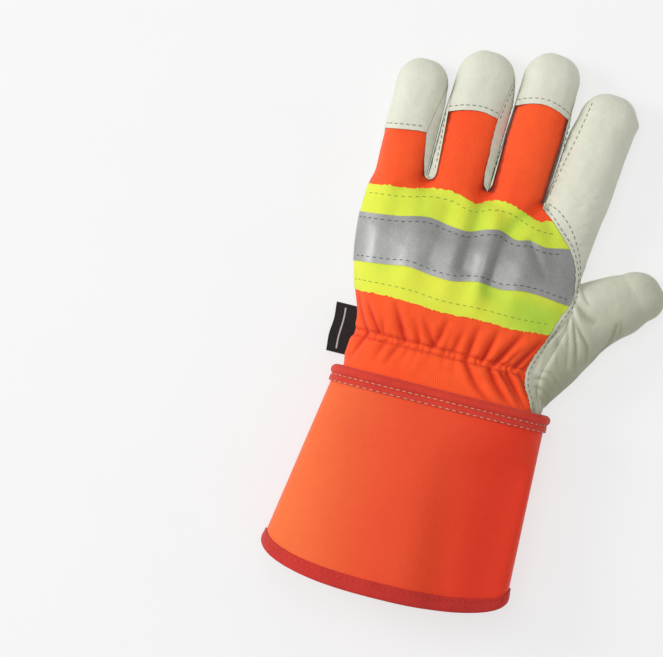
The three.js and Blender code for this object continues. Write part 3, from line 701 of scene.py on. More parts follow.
fray = 0.26
clothBorder = smoothPath(clothEdge, 1.0, fray)
crotches = {
    "little": [(-31.2, 117.5), (-32, 114.6), (-34.8, 112.7), (-37, 114), (-38.2, 117)],
    "ring": [(0.3, 121), (0, 117.6), (-1.9, 115), (-4.2, 117), (-5.2, 121)],
}
clothOutline = joined(
    [(-95, -12)], clothBorder, smoothPath(middleRight, 1.0, fray / 2),
    smoothPath(capEdges["middle"], 1.0)[::-1], smoothPath(middleLeft, 1.0),
    smoothPath(crotches["ring"], 1.0), smoothPath(ringRight, 1.0, fray * 0.7),
    smoothPath(capEdges["ring"], 1.0)[::-1], smoothPath(ringLeft, 1.0),
    smoothPath(crotches["little"], 1.0), smoothPath(littleRight, 1.0, fray * 0.7),
    smoothPath(capEdges["little"], 1.0)[::-1], [(-95, 135)])
capOutlines = {name: joined(smoothPath(capEdges[name], 0.9, fray),
                            smoothPath(capSides[name][1], 1.5), smoothPath(capSides[name][0], 1.5))
               for name in capEdges}
thumbOutline = joined([(66.5, 99), (62.6, 88)], smoothPath(thumbSeam, 1.2), [(140, -12), (140, 112)])
pairOutline = joined(smoothPath(pairSeam, 1.2), [(31, 125), (40.5, 210), (-34, 210), (-36.2, 125)])
labelOutline = [(-67.5, 8), (-50, 8), (-50, 36), (-67.5, 36)]
wristEnd = prism([(-200, -60), (200, -60), (200, -hand["tuck"]), (-200, -hand["tuck"])], -10, 100)
sideSeam, seamGap, farUp = hand["sideSeam"], 0.15, 90

clothRegion = prism(clothOutline, sideSeam + seamGap, farUp)
clothTrim = prism(grown(clothOutline, seamGap), sideSeam, farUp)
capTrims = [prism(grown(outline, seamGap), sideSeam, farUp) for outline in capOutlines.values()]
labelTrim = prism(grown(labelOutline, seamGap), sideSeam - seamGap, sideSeam + 0.8 + seamGap)

pieceMeshes = {}
back = cut(cut(clothShell, clothRegion, "INTERSECT"), wristEnd, "DIFFERENCE")
pieceMeshes["back_fabric"] = cut(back, labelTrim, "DIFFERENCE")
leather = cut(cut(leatherShell, clothTrim, "DIFFERENCE"), wristEnd, "DIFFERENCE")
for name, outline in capOutlines.items():
    capRegion = prism(outline, sideSeam + seamGap, farUp)
    pieceMeshes["fingertip_cap_" + name] = cut(leather, capRegion, "INTERSECT")
for trim in capTrims:
    leather = cut(leather, trim, "DIFFERENCE")
pieceMeshes["thumb_leather"] = cut(leather, prism(thumbOutline, -10, farUp), "INTERSECT")
leather = cut(leather, prism(grown(thumbOutline, seamGap), -11, farUp), "DIFFERENCE")
pieceMeshes["finger_front_pair"] = cut(leather, prism(pairOutline, -10, farUp), "INTERSECT")
leather = cut(leather, prism(grown(pairOutline, seamGap), -11, farUp), "DIFFERENCE")
pieceMeshes["palm_leather"] = cut(leather, labelTrim, "DIFFERENCE")
print("hand pieces:", len(pieceMeshes), ",", round(time.time() - startTime, 1), "s")


# Tape and strip: thin layers over the cloth, cut to their woven edges

tapes = {
    "hi_vis_tape": {
        "low": 0.1, "high": 0.42, "fray": 0.42,
        "bottom": [(-95, 44.5), (-63, 44.5), (-45, 45), (-30, 45), (-12, 43.5), (10, 44.5), (30, 44),
                   (48, 45.5), (70, 45.5)],
        "top": [(-95, 102), (-66, 103), (-55, 104.6), (-45, 105.5), (-30, 109), (-20, 109.5), (-12, 107.6),
                (-6, 106.3), (0, 109.6), (10, 111), (18, 109), (25, 106.5), (30, 105), (36, 107),
                (42, 104), (70, 104)],
    },
    "reflective_strip": {
        "low": 0.5, "high": 0.82, "fray": 0.0,
        "bottom": [(-95, 60), (-63, 60), (-45, 62), (-35, 63.5), (-22, 62), (-10, 61.5), (5, 64.5),
                   (17, 63.5), (30, 65.5), (56, 64), (75, 64)],
        "top": [(-95, 87), (-67, 87), (-45, 89.5), (-30, 92.5), (-15, 90.5), (-8, 90), (4, 94),
                (10, 95), (20, 92), (28, 93.5), (35, 92), (48, 94), (75, 94)],
    },
}
clothSide = joined([(-95, 0)], clothBorder[10:-3], [(34, 116), (-95, 116)])
clothSide = prism(clothSide, 0, farUp)
for name, tape in tapes.items():
    upper = layerBody("upper", clothPoints + clothNormals * tape["high"])
    lower = layerBody("lower", clothPoints + clothNormals * tape["low"], 1)
    outline = joined(smoothPath(tape["bottom"], 0.8, tape["fray"]),
                     smoothPath(tape["top"], 0.8, tape["fray"])[::-1])
    layer = cut(upper, lower, "DIFFERENCE")
    layer = cut(layer, prism(outline, sideSeam + 1, farUp), "INTERSECT")
    pieceMeshes[name] = cut(layer, clothSide, "INTERSECT")
print("tapes:", round(time.time() - startTime, 1), "s")


# Gauntlet cuff and its bindings: one profile carried round the cuff

def bandMesh(name, profile, count):
    angles = fullTurn(count)
    bm = bmesh.new()
    loftRings(bm, [cuffRing(share, offset, angles) for share, offset in profile], closed=True)
    mesh = meshOf(bm, name)
    placeholders(mesh, 0)
    return mesh


def alongCuff(points, start=0.0):  # (length below the start, offset) to (share, offset)
    return [(start - v / cuff["length"], offset) for v, offset in points]


cuffShares = [float(s) for s in np.linspace(0, 1, 44)]
pieceMeshes["gauntlet_cuff"] = bandMesh("gauntlet_cuff", [(s, 0.0) for s in cuffShares]
                                        + [(s, -cuff["wall"]) for s in cuffShares[::-1]], cuff["around"])
topProfile = alongCuff([
    (-8.1, 0.3), (-8.25, 0.8), (-7.9, 1.25), (-7.0, 1.5), (-5.6, 1.55), (-4.4, 1.45), (-3.6, 1.0),
    (-3.0, 1.45), (-2.3, 2.1), (-1.2, 2.6), (0.0, 2.75), (1.2, 2.45), (2.2, 1.7), (2.8, 0.6),
    (2.85, -0.6), (2.4, -1.6), (1.6, -2.0), (0.35, -2.0), (0.3, 0.3)])
hemProfile = alongCuff([
    (6.9, 0.25), (7.0, 0.55), (6.7, 0.85), (6.0, 1.0), (5.1, 0.95), (4.7, 0.7), (4.3, 1.0), (3.0, 1.2),
    (1.4, 1.25), (0.2, 1.1), (-0.6, 0.5), (-0.85, -0.8), (-0.7, -2.2), (0.0, -2.9), (1.2, -3.1),
    (4.0, -3.1), (6.4, -3.1), (6.9, -2.8), (6.9, -2.25), (-0.2, -2.25), (-0.2, 0.25)], 1.0)
pieceMeshes["cuff_top_binding"] = bandMesh("cuff_top_binding", topProfile, 300)
pieceMeshes["cuff_hem_binding"] = bandMesh("cuff_hem_binding", hemProfile, 300)

patchHalf = [(37, 4.5), (42, -3), (46, -8), (48, -15), (46, -23), (42, -28), (35, -31.2), (28, -33.6),
             (15, -35.3), (0, -36)]
patchOutline = [(u + 0.5, v) for u, v in patchHalf] + [(-u + 0.5, v) for u, v in patchHalf[-2::-1]]
patchLayer = bandMesh("patchLayer", alongCuff(
    [(v, 3.25) for v in np.arange(6, -39, -1.5)] + [(v, 1.85) for v in np.arange(-38, 7, 1.5)]), 240)
patchRegion = prism(smoothPath(patchOutline + patchOutline[:1], 1.2)[:-1], -2, 8)
pieceMeshes["wrist_patch"] = cut(patchLayer, patchRegion, "INTERSECT")


label = {"outer": -67, "width": 15, "middle": 22, "length": 27.6, "thickness": 0.5}


def labelMesh():  # a plain tab with a woven stripe, its inner end held in the side seam
    bm = bmesh.new()
    bmesh.ops.create_grid(bm, x_segments=18, y_segments=24, size=0.5)
    bmesh.ops.solidify(bm, geom=bm.faces[:], thickness=label["thickness"])
    striped = [i for i, face in enumerate(bm.faces)
               if -0.17 < face.calc_center_median().x < -0.1 and abs(face.calc_center_median().y) < 0.42]
    for vert in bm.verts:
        x, y = vert.co.x + 0.5, vert.co.y
        curl = 0.7 * (1 - x) ** 2 + 0.25 * math.sin(5 * y + 0.8) * (1 - x)
        onTop = vert.co.z > -label["thickness"] / 2
        vert.co = (label["outer"] + label["width"] * x + 0.35 * math.sin(9 * y) * (1 - x),
                   label["middle"] + label["length"] * y,
                   sideSeam + 0.12 + curl + (label["thickness"] if onTop else 0))
    mesh = meshOf(bm, "side_label")
    placeholders(mesh, 0)
    for i in striped:
        mesh.polygons[i].material_index = 1
    return mesh


pieceMeshes["side_label"] = labelMesh()
print("cuff, patch and label:", round(time.time() - startTime, 1), "s")


# Stitches: short rounded threads laid along each seam

threadMeshes = {}


def sew(slot, points, normals, pitch=3.6, length=2.6, radius=0.27, sink=0.08):
    bm = threadMeshes.setdefault(slot, bmesh.new())
    points = np.array(points)
    along = np.concatenate([[0], np.cumsum(np.linalg.norm(np.diff(points, axis=0), axis=1))])
    for at in np.arange(pitch / 2, along[-1] - pitch / 3, pitch):
        here = Vector([np.interp(at, along, points[:, k]) for k in range(3)])
        ahead = Vector([np.interp(at + 0.6, along, points[:, k]) for k in range(3)])
        behind = Vector([np.interp(at - 0.6, along, points[:, k]) for k in range(3)])
        normal = Vector([np.interp(at, along, normals[:, k]) for k in range(3)]).normalized()
        forward = (ahead - behind).normalized()
        forward = Matrix.Rotation(random.uniform(-0.06, 0.06), 3, normal) @ forward
        side = normal.cross(forward).normalized()
        basis = Matrix((forward, side, normal)).transposed().to_4x4()
        size = Matrix.Diagonal((length / 2 * random.uniform(0.94, 1.04), radius, radius * 0.8, 1))
        place = Matrix.Translation(here + normal * (radius * 0.5 - sink)) @ basis @ size
        bmesh.ops.create_uvsphere(bm, u_segments=6, v_segments=4, radius=1, matrix=place)


surfaces = {name: BVHTree.FromPolygons([v.co for v in mesh.vertices], [p.vertices for p in mesh.polygons])
            for name, mesh in pieceMeshes.items()}


def onSurface(path, names, fromBelow=False, step=0.6):  # drops a line onto the pieces
    points, normals = [], []
    down = Vector((0, 0, 1 if fromBelow else -1))
    for p in smoothPath(path, step):
        start = Vector((p[0], p[1], -20 if fromBelow else 100))
        hits = [surfaces[n].ray_cast(start, down) for n in names]
        hits = [h for h in hits if h[0] is not None]
        if hits:
            hit = min(hits, key=lambda h: h[3])
            points.append(hit[0])
            normals.append(hit[1] if hit[1].dot(down) < 0 else -hit[1])
    normals = np.array(normals)
    for _ in range(3):
        normals[1:-1] = (normals[:-2] + normals[1:-1] + normals[2:]) / 3
    return np.array(points), normals


def beside(path, distance):  # the same line, moved to its left
    path = smoothPath(path, 2)
    step = np.gradient(path, axis=0)
    left = np.stack([-step[:, 1], step[:, 0]], axis=1)
    return path + left / np.linalg.norm(left, axis=1)[:, None] * distance


handNames = ["palm_leather", "thumb_leather", "finger_front_pair", "fingertip_cap_little",
             "fingertip_cap_ring", "fingertip_cap_middle"]
strip = clothEdge[1:]
handSeams = [
    ("leather", beside(strip, -1.9), handNames),
    ("leather", [(30, 117), (40, 112.5), (48, 105), (54, 96), (58.2, 86), (60, 77)], handNames),
    ("leather", beside(middleRight[1:], -1.6), handNames),
    ("leather", beside(capEdges["little"][1:], 2.9), handNames),
    ("leather", beside(capEdges["ring"], 2.9), handNames),
    ("leather", beside(capEdges["middle"], 3.2), handNames),
    ("leather", beside([(32, 121), (35, 137), (39, 155), (43, 177)], 0), handNames),
    ("leather", beside(capSides["ring"][0][1:], -1.4), handNames),
    ("leather", beside(capSides["middle"][0][1:], -1.4), handNames),
    ("leather", beside(ringLeft, -1.3), handNames),
    ("leather", beside(middleLeft, -1.2), handNames),
    ("leather", beside(capSides["ring"][1][:-1], -1.3), handNames),
    ("cloth", [(-54, 24.2), (-20, 24.2), (10, 24.2), (42, 24.2)], ["back_fabric"]),
    ("cloth", [(-54, 20.4), (-20, 20.4), (10, 20.4), (42, 20.4)], ["back_fabric"]),
    ("hi_vis_tape", [(-65, 98.2), (-45, 100.5), (-30, 104), (-20, 104.4), (-6, 101.5), (2, 104.6),
                     (12, 105.6), (25, 101.5), (31, 100), (42, 100.6)], ["hi_vis_tape"]),
    ("hi_vis_tape", [(-62, 50.2), (-45, 51), (-30, 51.2), (-12, 49.8), (10, 50.6), (30, 50.3), (50, 51.5)],
     ["hi_vis_tape"]),
    ("reflective_strip", beside(tapes["reflective_strip"]["top"][1:-1], -3), ["reflective_strip"]),
    ("reflective_strip", beside(tapes["reflective_strip"]["bottom"][1:-1], 3), ["reflective_strip"]),
]
for slot, path, names in handSeams:
    points, normals = onSurface(path, names)
    if len(points) > 8:
        sew(slot, points, normals, pitch=3.4 if slot == "leather" else 3.9)
for path in (beside(pairSeam, 2), [(-40, 0), (0, 0), (40, 0)], [(-38, -4), (0, -4), (38, -4)]):
    points, normals = onSurface(path, handNames + ["wrist_patch"], fromBelow=True)
    sew("leather", points, normals)
points, normals = onSurface(grown(smoothPath(patchOutline[1:-1], 2), -3), ["wrist_patch"], fromBelow=True)
sew("leather", points, normals)


def sewRound(slot, share, offset, **settings):
    angles = np.linspace(0, 2 * math.pi, 721)
    ring, outer = cuffRing(share, offset, angles), cuffRing(share, offset + 1, angles)
    sew(slot, ring, outer - ring, **settings)


sewRound("binding", 3.6 / cuff["length"], 1.3, pitch=3.5, length=2.6)
sewRound("binding", 7.7 / cuff["length"], 1.45, pitch=3.9, length=2.6)
sewRound("cuff_cloth", 1 - 4.7 / cuff["length"], 0.75, pitch=3.6, length=2.5, radius=0.28)
print("stitches:", round(time.time() - startTime, 1), "s")


# Materials

def srgb(*values):  # screen colour, 0 to 255, as the linear colour that nodes take
    lin = [v / 255 / 12.92 if v <= 10 else ((v / 255 + 0.055) / 1.055) ** 2.4 for v in values]
    return (*lin, 1.0)


def newGroup(name, inputs, outputs):
    group = bpy.data.node_groups.new(name, "ShaderNodeTree")
    for label, kind, default in inputs:
        socket = group.interface.new_socket(label, in_out="INPUT", socket_type=kind)
        if default is not None:
            socket.default_value = default
    for label, kind in outputs:
        group.interface.new_socket(label, in_out="OUTPUT", socket_type=kind)
    return group, group.nodes.new("NodeGroupInput"), group.nodes.new("NodeGroupOutput")


def mathNode(tree, operation, first, second=None, third=None):
    node = tree.nodes.new("ShaderNodeMath")
    node.operation = operation
    for socket, value in zip(node.inputs, (first, second, third)):
        if isinstance(value, bpy.types.NodeSocket):
            tree.links.new(value, socket)
        elif value is not None:
            socket.default_value = value
    return node.outputs[0]


def noiseNode(tree, vector, scale, detail=3.0, roughness=0.55):
    node = tree.nodes.new("ShaderNodeTexNoise")
    tree.links.new(vector, node.inputs["Vector"])
    if isinstance(scale, bpy.types.NodeSocket):
        tree.links.new(scale, node.inputs["Scale"])
    else:
        node.inputs["Scale"].default_value = scale
    node.inputs["Detail"].default_value = detail
    node.inputs["Roughness"].default_value = roughness
    return node.outputs["Fac"]


def makeGrain():  # leather grain: small cells, pores and soft wrinkles
    tree, source, out = newGroup("leatherGrain", [
        ("Vector", "NodeSocketVector", None), ("Cells", "NodeSocketFloat", 900.0),
        ("Wrinkles", "NodeSocketFloat", 0.5)], [("Height", "NodeSocketFloat"), ("Pores", "NodeSocketFloat")])
    vector = source.outputs["Vector"]
    cells = tree.nodes.new("ShaderNodeTexVoronoi")
    cells.feature = "DISTANCE_TO_EDGE"
    tree.links.new(vector, cells.inputs["Vector"])
    tree.links.new(source.outputs["Cells"], cells.inputs["Scale"])
    cell = mathNode(tree, "SMOOTH_MIN", cells.outputs["Distance"], 0.25, 0.1)
    fine = noiseNode(tree, vector, mathNode(tree, "MULTIPLY", source.outputs["Cells"], 2.3))
    broad = noiseNode(tree, vector, mathNode(tree, "MULTIPLY", source.outputs["Cells"], 0.16), 4.0)
    crease = mathNode(tree, "ABSOLUTE", mathNode(tree, "SUBTRACT", broad, 0.5))
    crease = mathNode(tree, "MULTIPLY", mathNode(tree, "MINIMUM", crease, 0.09), source.outputs["Wrinkles"])
    height = mathNode(tree, "MULTIPLY_ADD", cell, 1.2, mathNode(tree, "MULTIPLY", fine, 0.35))
    height = mathNode(tree, "MULTIPLY_ADD", crease, 9.0, height)
    tree.links.new(height, out.inputs["Height"])
    tree.links.new(cell, out.inputs["Pores"])
    return tree


def makeWeave():  # twill: fine diagonal lines crossed by weft, uneven like real yarn
    tree, source, out = newGroup("clothWeave", [
        ("Vector", "NodeSocketVector", None), ("Pitch", "NodeSocketFloat", 0.0009),
        ("Cross", "NodeSocketFloat", 0.4)], [("Height", "NodeSocketFloat"), ("Yarn", "NodeSocketFloat")])
    vector = source.outputs["Vector"]
    parts = tree.nodes.new("ShaderNodeSeparateXYZ")
    tree.links.new(vector, parts.inputs[0])
    x, y, z = parts.outputs
    sway = mathNode(tree, "MULTIPLY", noiseNode(tree, vector, 160.0, 2.0), 0.0012)
    flatLine = mathNode(tree, "MULTIPLY_ADD", x, 0.8, mathNode(tree, "MULTIPLY", y, 0.6))
    diagonal = mathNode(tree, "ADD", flatLine, mathNode(tree, "MULTIPLY_ADD", z, 0.7, sway))
    flatWeft = mathNode(tree, "MULTIPLY_ADD", x, 0.9, mathNode(tree, "MULTIPLY", y, -0.45))
    weft = mathNode(tree, "ADD", flatWeft, mathNode(tree, "MULTIPLY", z, 0.9))
    turn = mathNode(tree, "DIVIDE", 2 * math.pi, source.outputs["Pitch"])
    line = mathNode(tree, "SINE", mathNode(tree, "MULTIPLY", diagonal, turn))
    weftLine = mathNode(tree, "SINE", mathNode(tree, "MULTIPLY", weft, mathNode(tree, "MULTIPLY", turn, 1.7)))
    height = mathNode(tree, "MULTIPLY_ADD", weftLine, source.outputs["Cross"], line)
    tree.links.new(height, out.inputs["Height"])
    tree.links.new(mathNode(tree, "MULTIPLY_ADD", height, 0.35, 0.5), out.inputs["Yarn"])
    return tree


def makeTone():  # slow changes of colour between two tones, with faint soiling
    tree, source, out = newGroup("softTone", [
        ("Vector", "NodeSocketVector", None), ("Scale", "NodeSocketFloat", 30.0),
        ("Light", "NodeSocketColor", (1, 1, 1, 1)), ("Dark", "NodeSocketColor", (0.5, 0.5, 0.5, 1))],
        [("Color", "NodeSocketColor"), ("Value", "NodeSocketFloat")])
    vector = source.outputs["Vector"]
    broad = noiseNode(tree, vector, source.outputs["Scale"], 3.0)
    fine = noiseNode(tree, vector, mathNode(tree, "MULTIPLY", source.outputs["Scale"], 9.0), 2.0)
    value = mathNode(tree, "MULTIPLY_ADD", fine, 0.4, mathNode(tree, "MULTIPLY", broad, 0.8))
    spread = tree.nodes.new("ShaderNodeMapRange")
    tree.links.new(value, spread.inputs["Value"])
    spread.inputs["From Min"].default_value = 0.42
    spread.inputs["From Max"].default_value = 0.78
    mix = tree.nodes.new("ShaderNodeMix")
    mix.data_type = "RGBA"
    tree.links.new(spread.outputs["Result"], mix.inputs["Factor"])
    tree.links.new(source.outputs["Light"], mix.inputs["A"])
    tree.links.new(source.outputs["Dark"], mix.inputs["B"])
    tree.links.new(mix.outputs["Result"], out.inputs["Color"])
    tree.links.new(spread.outputs["Result"], out.inputs["Value"])
    return tree


grainGroup, weaveGroup, toneGroup = makeGrain(), makeWeave(), makeTone()


def placeGroup(tree, group, vector, **values):
    node = tree.nodes.new("ShaderNodeGroup")
    node.node_tree = group
    tree.links.new(vector, node.inputs["Vector"])
    for key, value in values.items():
        node.inputs[key].default_value = value
    return node


def startMaterial(name, **constants):
    material = bpy.data.materials.new(name)
    material.use_nodes = True
    tree = material.node_tree
    shader = tree.nodes["Principled BSDF"]
    for key, value in constants.items():
        shader.inputs[key].default_value = value
    vector = tree.nodes.new("ShaderNodeTexCoord").outputs["Object"]
    return material, tree, shader, vector


def addBump(tree, shader, height, distance, strength=1.0):
    bump = tree.nodes.new("ShaderNodeBump")
    bump.inputs["Distance"].default_value = distance
    bump.inputs["Strength"].default_value = strength
    tree.links.new(height, bump.inputs["Height"])
    tree.links.new(bump.outputs["Normal"], shader.inputs["Normal"])


def multiply(tree, color, factor, amount=1.0):
    shade = tree.nodes.new("ShaderNodeMix")
    shade.data_type = "RGBA"
    shade.blend_type = "MULTIPLY"
    for socket, value in ((shade.inputs["Factor"], amount), (shade.inputs["B"], factor)):
        if isinstance(value, bpy.types.NodeSocket):
            tree.links.new(value, socket)
        else:
            socket.default_value = value
    tree.links.new(color, shade.inputs["A"])
    return shade.outputs["Result"]


def paintedShadeValue(tree):
    # the painted shade stored on each point as the "fold" attribute
    fold = tree.nodes.new("ShaderNodeAttribute")
    fold.attribute_name = "fold"
    return fold.outputs["Fac"]


def leatherMaterial(name, light, dark, cells=850.0, wrinkles=0.9, roughness=0.62):
    material, tree, shader, vector = startMaterial(name)
    tone = placeGroup(tree, toneGroup, vector, Scale=26.0, Light=light, Dark=dark)
    grain = placeGroup(tree, grainGroup, vector, Cells=cells, Wrinkles=wrinkles)
    deep = tree.nodes.new("ShaderNodeMapRange")
    tree.links.new(grain.outputs["Pores"], deep.inputs["Value"])
    deep.inputs["From Max"].default_value = 0.12
    deep.inputs["To Min"].default_value = 0.95
    # painted shade multiplies the leather towards a duller green
    color = multiply(tree, multiply(tree, tone.outputs["Color"], deep.outputs["Result"]),
                     (0.52, 0.53, 0.44, 1), paintedShadeValue(tree))
    tree.links.new(color, shader.inputs["Base Color"])
    rough = mathNode(tree, "MULTIPLY_ADD", tone.outputs["Value"], 0.14, roughness - 0.07)
    tree.links.new(rough, shader.inputs["Roughness"])
    addBump(tree, shader, grain.outputs["Height"], 0.00012, 0.8)
    return material


# folds is the colour that painted shade multiplies in
def clothMaterial(name, light, dark, pitch, cross=0.4, roughness=0.82, sheen=0.15, bump=0.00012,
                  contrast=0.12, scale=22.0, folds=(0.62, 0.34, 0.4, 1), gloss=0.3):
    material, tree, shader, vector = startMaterial(name, **{
        "Sheen Weight": sheen, "Sheen Roughness": 0.4, "Specular IOR Level": gloss})
    tone = placeGroup(tree, toneGroup, vector, Scale=scale, Light=light, Dark=dark)
    weave = placeGroup(tree, weaveGroup, vector, Pitch=pitch, Cross=cross)
    yarn = mathNode(tree, "MULTIPLY_ADD", weave.outputs["Yarn"], contrast, 1 - contrast * 0.6)
    color = multiply(tree, multiply(tree, tone.outputs["Color"], yarn), folds, paintedShadeValue(tree))
    tree.links.new(color, shader.inputs["Base Color"])
    rough = mathNode(tree, "MULTIPLY_ADD", weave.outputs["Yarn"], -0.1, roughness)
    tree.links.new(rough, shader.inputs["Roughness"])
    addBump(tree, shader, weave.outputs["Height"], bump, 0.7)
    return material


def silverMaterial():
    material, tree, shader, vector = startMaterial("silverBeads", Metallic=0.35)
    tone = placeGroup(tree, toneGroup, vector, Scale=60.0, Light=srgb(166, 166, 165),
                      Dark=srgb(154, 154, 153))
    speck = noiseNode(tree, vector, 1700.0, 2.0)
    beads = mathNode(tree, "MULTIPLY_ADD", speck, 0.8, 0.58)
    # painted shade darkens the grey
    color = multiply(tree, multiply(tree, tone.outputs["Color"], beads), (0.6, 0.6, 0.6, 1), paintedShadeValue(tree))
    tree.links.new(color, shader.inputs["Base Color"])
    tree.links.new(mathNode(tree, "MULTIPLY_ADD", speck, 0.2, 0.36), shader.inputs["Roughness"])
    addBump(tree, shader, speck, 0.00005, 0.5)
    return material


def bindingMaterial(name, light, dark):
    return clothMaterial(name, light, dark, 0.0009, 0.7, 0.7, 0.1, 0.0001, 0.12)


def threadMaterial(name, light, dark, contrast=0.2):
    return clothMaterial(name, light, dark, 0.0004, 0.9, 0.7, 0.1, 0.00003, contrast)


leatherFace = leatherMaterial("paleLeather", srgb(219, 219, 203), srgb(210, 211, 193))
leatherEdge = leatherMaterial("leatherRawEdge", srgb(206, 205, 186), srgb(180, 180, 158),
                              cells=1900.0, wrinkles=0.2, roughness=0.9)
lining = clothMaterial("fleeceLining", srgb(226, 222, 208), srgb(206, 202, 188), 0.0021,
                       cross=0.9, roughness=0.95, sheen=0.3, bump=0.0003)
orangeCloth = clothMaterial("orangeTwill", srgb(255, 92, 36), srgb(250, 80, 32), 0.00085,
                            bump=0.00008, contrast=0.08)
# its folds colour paints shading: light orange where the cuff faces the key light, deep red towards the thumb
cuffCloth = clothMaterial("orangeCuffCloth", srgb(236, 108, 47), srgb(232, 102, 44), 0.0008,
                          cross=0.6, roughness=0.58, sheen=0.04, bump=0.00004, contrast=0.05,
                          folds=(1.0, 0.29, 0.44, 1), gloss=0.25)
redBinding = bindingMaterial("redBinding", srgb(224, 62, 42), srgb(206, 52, 38))
hemBinding = bindingMaterial("hemBinding", srgb(206, 48, 38), srgb(190, 40, 36))
# its folds colour paints shade green in hollows and on the side turned from the key light
yellowTape = clothMaterial("yellowTape", srgb(228, 234, 68), srgb(220, 230, 66), 0.00075,
                           cross=0.8, roughness=0.7, sheen=0.1, bump=0.00005, contrast=0.06,
                           folds=(0.48, 0.83, 1, 1))
silverStrip = silverMaterial()
labelBlack = clothMaterial("labelBlack", srgb(34, 34, 36), srgb(24, 24, 26), 0.0006,
                           cross=0.9, roughness=0.7, sheen=0.2, bump=0.00008, contrast=0.25)
labelStripe = clothMaterial("labelStripe", srgb(200, 202, 204), srgb(180, 182, 184), 0.0006,
                            cross=0.9, roughness=0.7, sheen=0.1, bump=0.00008, contrast=0.2)
darkThread = threadMaterial("darkThread", srgb(132, 134, 114), srgb(104, 106, 90), 0.3)
orangeThread = threadMaterial("orangeThread", srgb(226, 74, 34), srgb(206, 60, 30))
creamThread = threadMaterial("creamThread", srgb(226, 190, 160), srgb(206, 160, 134))
greyThread = threadMaterial("greyThread", srgb(96, 96, 96), srgb(74, 74, 74))
limeThread = threadMaterial("limeThread", srgb(150, 176, 66), srgb(132, 158, 62))

finishes = {  # slot, surface, inside, raw edge
    "palm_leather": ("leather", leatherFace, lining, leatherEdge),
    "finger_front_pair": ("leather", leatherFace, lining, leatherEdge),
    "thumb_leather": ("leather", leatherFace, lining, leatherEdge),
    "fingertip_cap_little": ("leather", leatherFace, lining, leatherEdge),
    "fingertip_cap_ring": ("leather", leatherFace, lining, leatherEdge),
    "fingertip_cap_middle": ("leather", leatherFace, lining, leatherEdge),
    "wrist_patch": ("leather", leatherFace, leatherEdge, leatherEdge),
    "back_fabric": ("cloth", orangeCloth, lining, orangeCloth),
    "gauntlet_cuff": ("cuff_cloth", cuffCloth, lining, cuffCloth),
    "cuff_top_binding": ("binding", redBinding, redBinding, redBinding),
    "cuff_hem_binding": ("binding", hemBinding, hemBinding, hemBinding),
    "hi_vis_tape": ("hi_vis_tape", yellowTape, yellowTape, yellowTape),
    "reflective_strip": ("reflective_strip", silverStrip, silverStrip, silverStrip),
    "side_label": ("label", labelBlack, labelStripe, labelBlack),
}
threads = {
    "leather": ("leather_stitches", darkThread), "cloth": ("elastic_stitches", orangeThread),
    "hi_vis_tape": ("tape_stitches", limeThread), "reflective_strip": ("strip_stitches", greyThread),
    "binding": ("binding_stitches", creamThread), "cuff_cloth": ("hem_stitches", orangeThread),
}
# which painted shade each slot's pieces get
paintedShadeKinds = {"cloth": "cloth", "leather": "leather", "cuff_cloth": "cuff", "hi_vis_tape": "tape",
             "reflective_strip": "tape"}


def addPiece(name, mesh, slot, materials, node=None):
    # the "fold" attribute carries painted shade into the materials
    if node and slot in paintedShadeKinds:
        fold = mesh.attributes.new("fold", "FLOAT", "POINT")
        fold.data.foreach_set("value", paintedShade(readPoints(mesh), readNormals(mesh), paintedShadeKinds[slot]))
    mesh.transform(toFrame)
    mesh.name = name
    for i, material in enumerate(materials):
        if i < len(mesh.materials):
            mesh.materials[i] = material
        else:
            mesh.materials.append(material)
    mesh.shade_smooth()
    mesh.set_sharp_from_angle(angle=math.radians(42))
    piece = bpy.data.objects.new(name, mesh)
    bpy.context.scene.collection.objects.link(piece)
    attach(piece, "root")
    if node:
        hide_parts(node)


for node, (slot, *materials) in finishes.items():
    addPiece(node + "_shape", pieceMeshes[node], slot, materials, node)
for slot, (name, material) in threads.items():
    mesh = bpy.data.meshes.new(name)
    threadMeshes[slot].to_mesh(mesh)
    threadMeshes[slot].free()
    addPiece(name, mesh, slot, [material])
print("pieces placed:", round(time.time() - startTime, 1), "s")


# Floor, light and camera

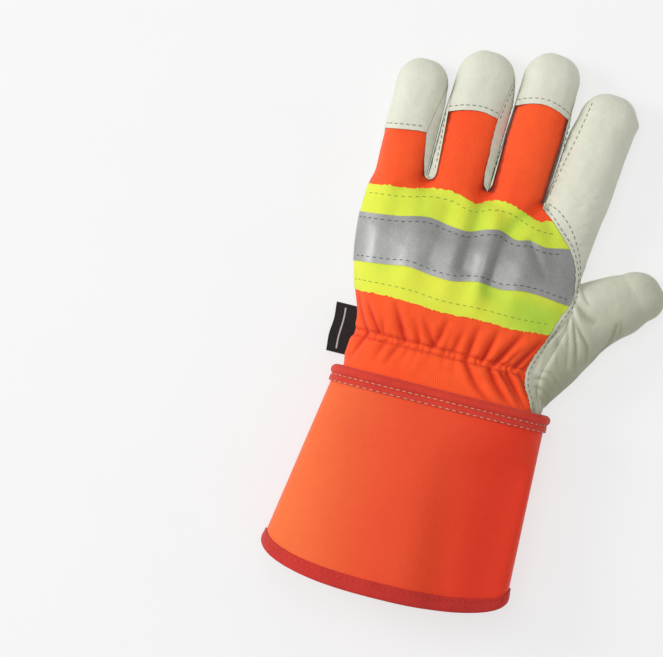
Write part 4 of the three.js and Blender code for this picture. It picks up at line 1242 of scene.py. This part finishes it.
studio = {"floorSize": 3.0, "floorGlow": 0.655, "room": 0.51}
view = {"centre": (-66.6, 20.5), "width": 364.7, "tilt": 14.0, "distance": 2.5, "outlineHeight": 22}
centre = toFrame @ Vector((*view["centre"], 0))
imageRight = Vector((math.cos(math.radians(view["tilt"])), math.sin(math.radians(view["tilt"])), 0))
imageUp = Vector((-imageRight.y, imageRight.x, 0))

bm = bmesh.new()
bmesh.ops.create_grid(bm, x_segments=1, y_segments=1, size=studio["floorSize"])
floor = bpy.data.objects.new("floor", meshOf(bm, "floor"))
bpy.context.scene.collection.objects.link(floor)
floorMaterial, tree, shader, vector = startMaterial("paleFloor", **{
    "Roughness": 0.9, "Emission Color": (1, 1, 1, 1), "Emission Strength": studio["floorGlow"]})
tone = placeGroup(tree, toneGroup, vector, Scale=2.0, Light=(0.25, 0.25, 0.25, 1),
                  Dark=(0.24, 0.24, 0.24, 1))
tree.links.new(tone.outputs["Color"], shader.inputs["Base Color"])
floor.data.materials.append(floorMaterial)


def addLight(name, right, up, height, size, power):
    data = bpy.data.lights.new(name, "AREA")
    data.shape = "DISK"
    data.size = size
    data.energy = power
    light = bpy.data.objects.new(name, data)
    light.location = centre + imageRight * right + imageUp * up + Vector((0, 0, height))
    light.rotation_euler = (centre - light.location).to_track_quat("-Z", "Y").to_euler()
    bpy.context.scene.collection.objects.link(light)


addLight("keyLight", -1.45, 0.55, 0.95, 0.8, 17)
addLight("topLight", -0.2, 0.3, 1.9, 1.2, 10)
world = bpy.data.worlds.new("softRoom")
world.use_nodes = True
world.node_tree.nodes["Background"].inputs["Color"].default_value = (1, 1, 1, 1)
world.node_tree.nodes["Background"].inputs["Strength"].default_value = studio["room"]
bpy.context.scene.world = world
bpy.context.scene.view_settings.view_transform = "Standard"

cameraData = bpy.data.cameras.new("camera")
cameraData.sensor_width = 36
cameraData.lens = 36 * (view["distance"] - view["outlineHeight"] / 1000) / (view["width"] / 1000)
camera = bpy.data.objects.new("camera", cameraData)
camera.matrix_world = Matrix.Translation(centre + Vector((0, 0, view["distance"]))) @ Matrix((
    imageRight, imageUp, (0, 0, 1))).transposed().to_4x4()
bpy.context.scene.collection.objects.link(camera)
bpy.context.scene.camera = camera

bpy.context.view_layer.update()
print("done:", round(time.time() - startTime, 1), "s")
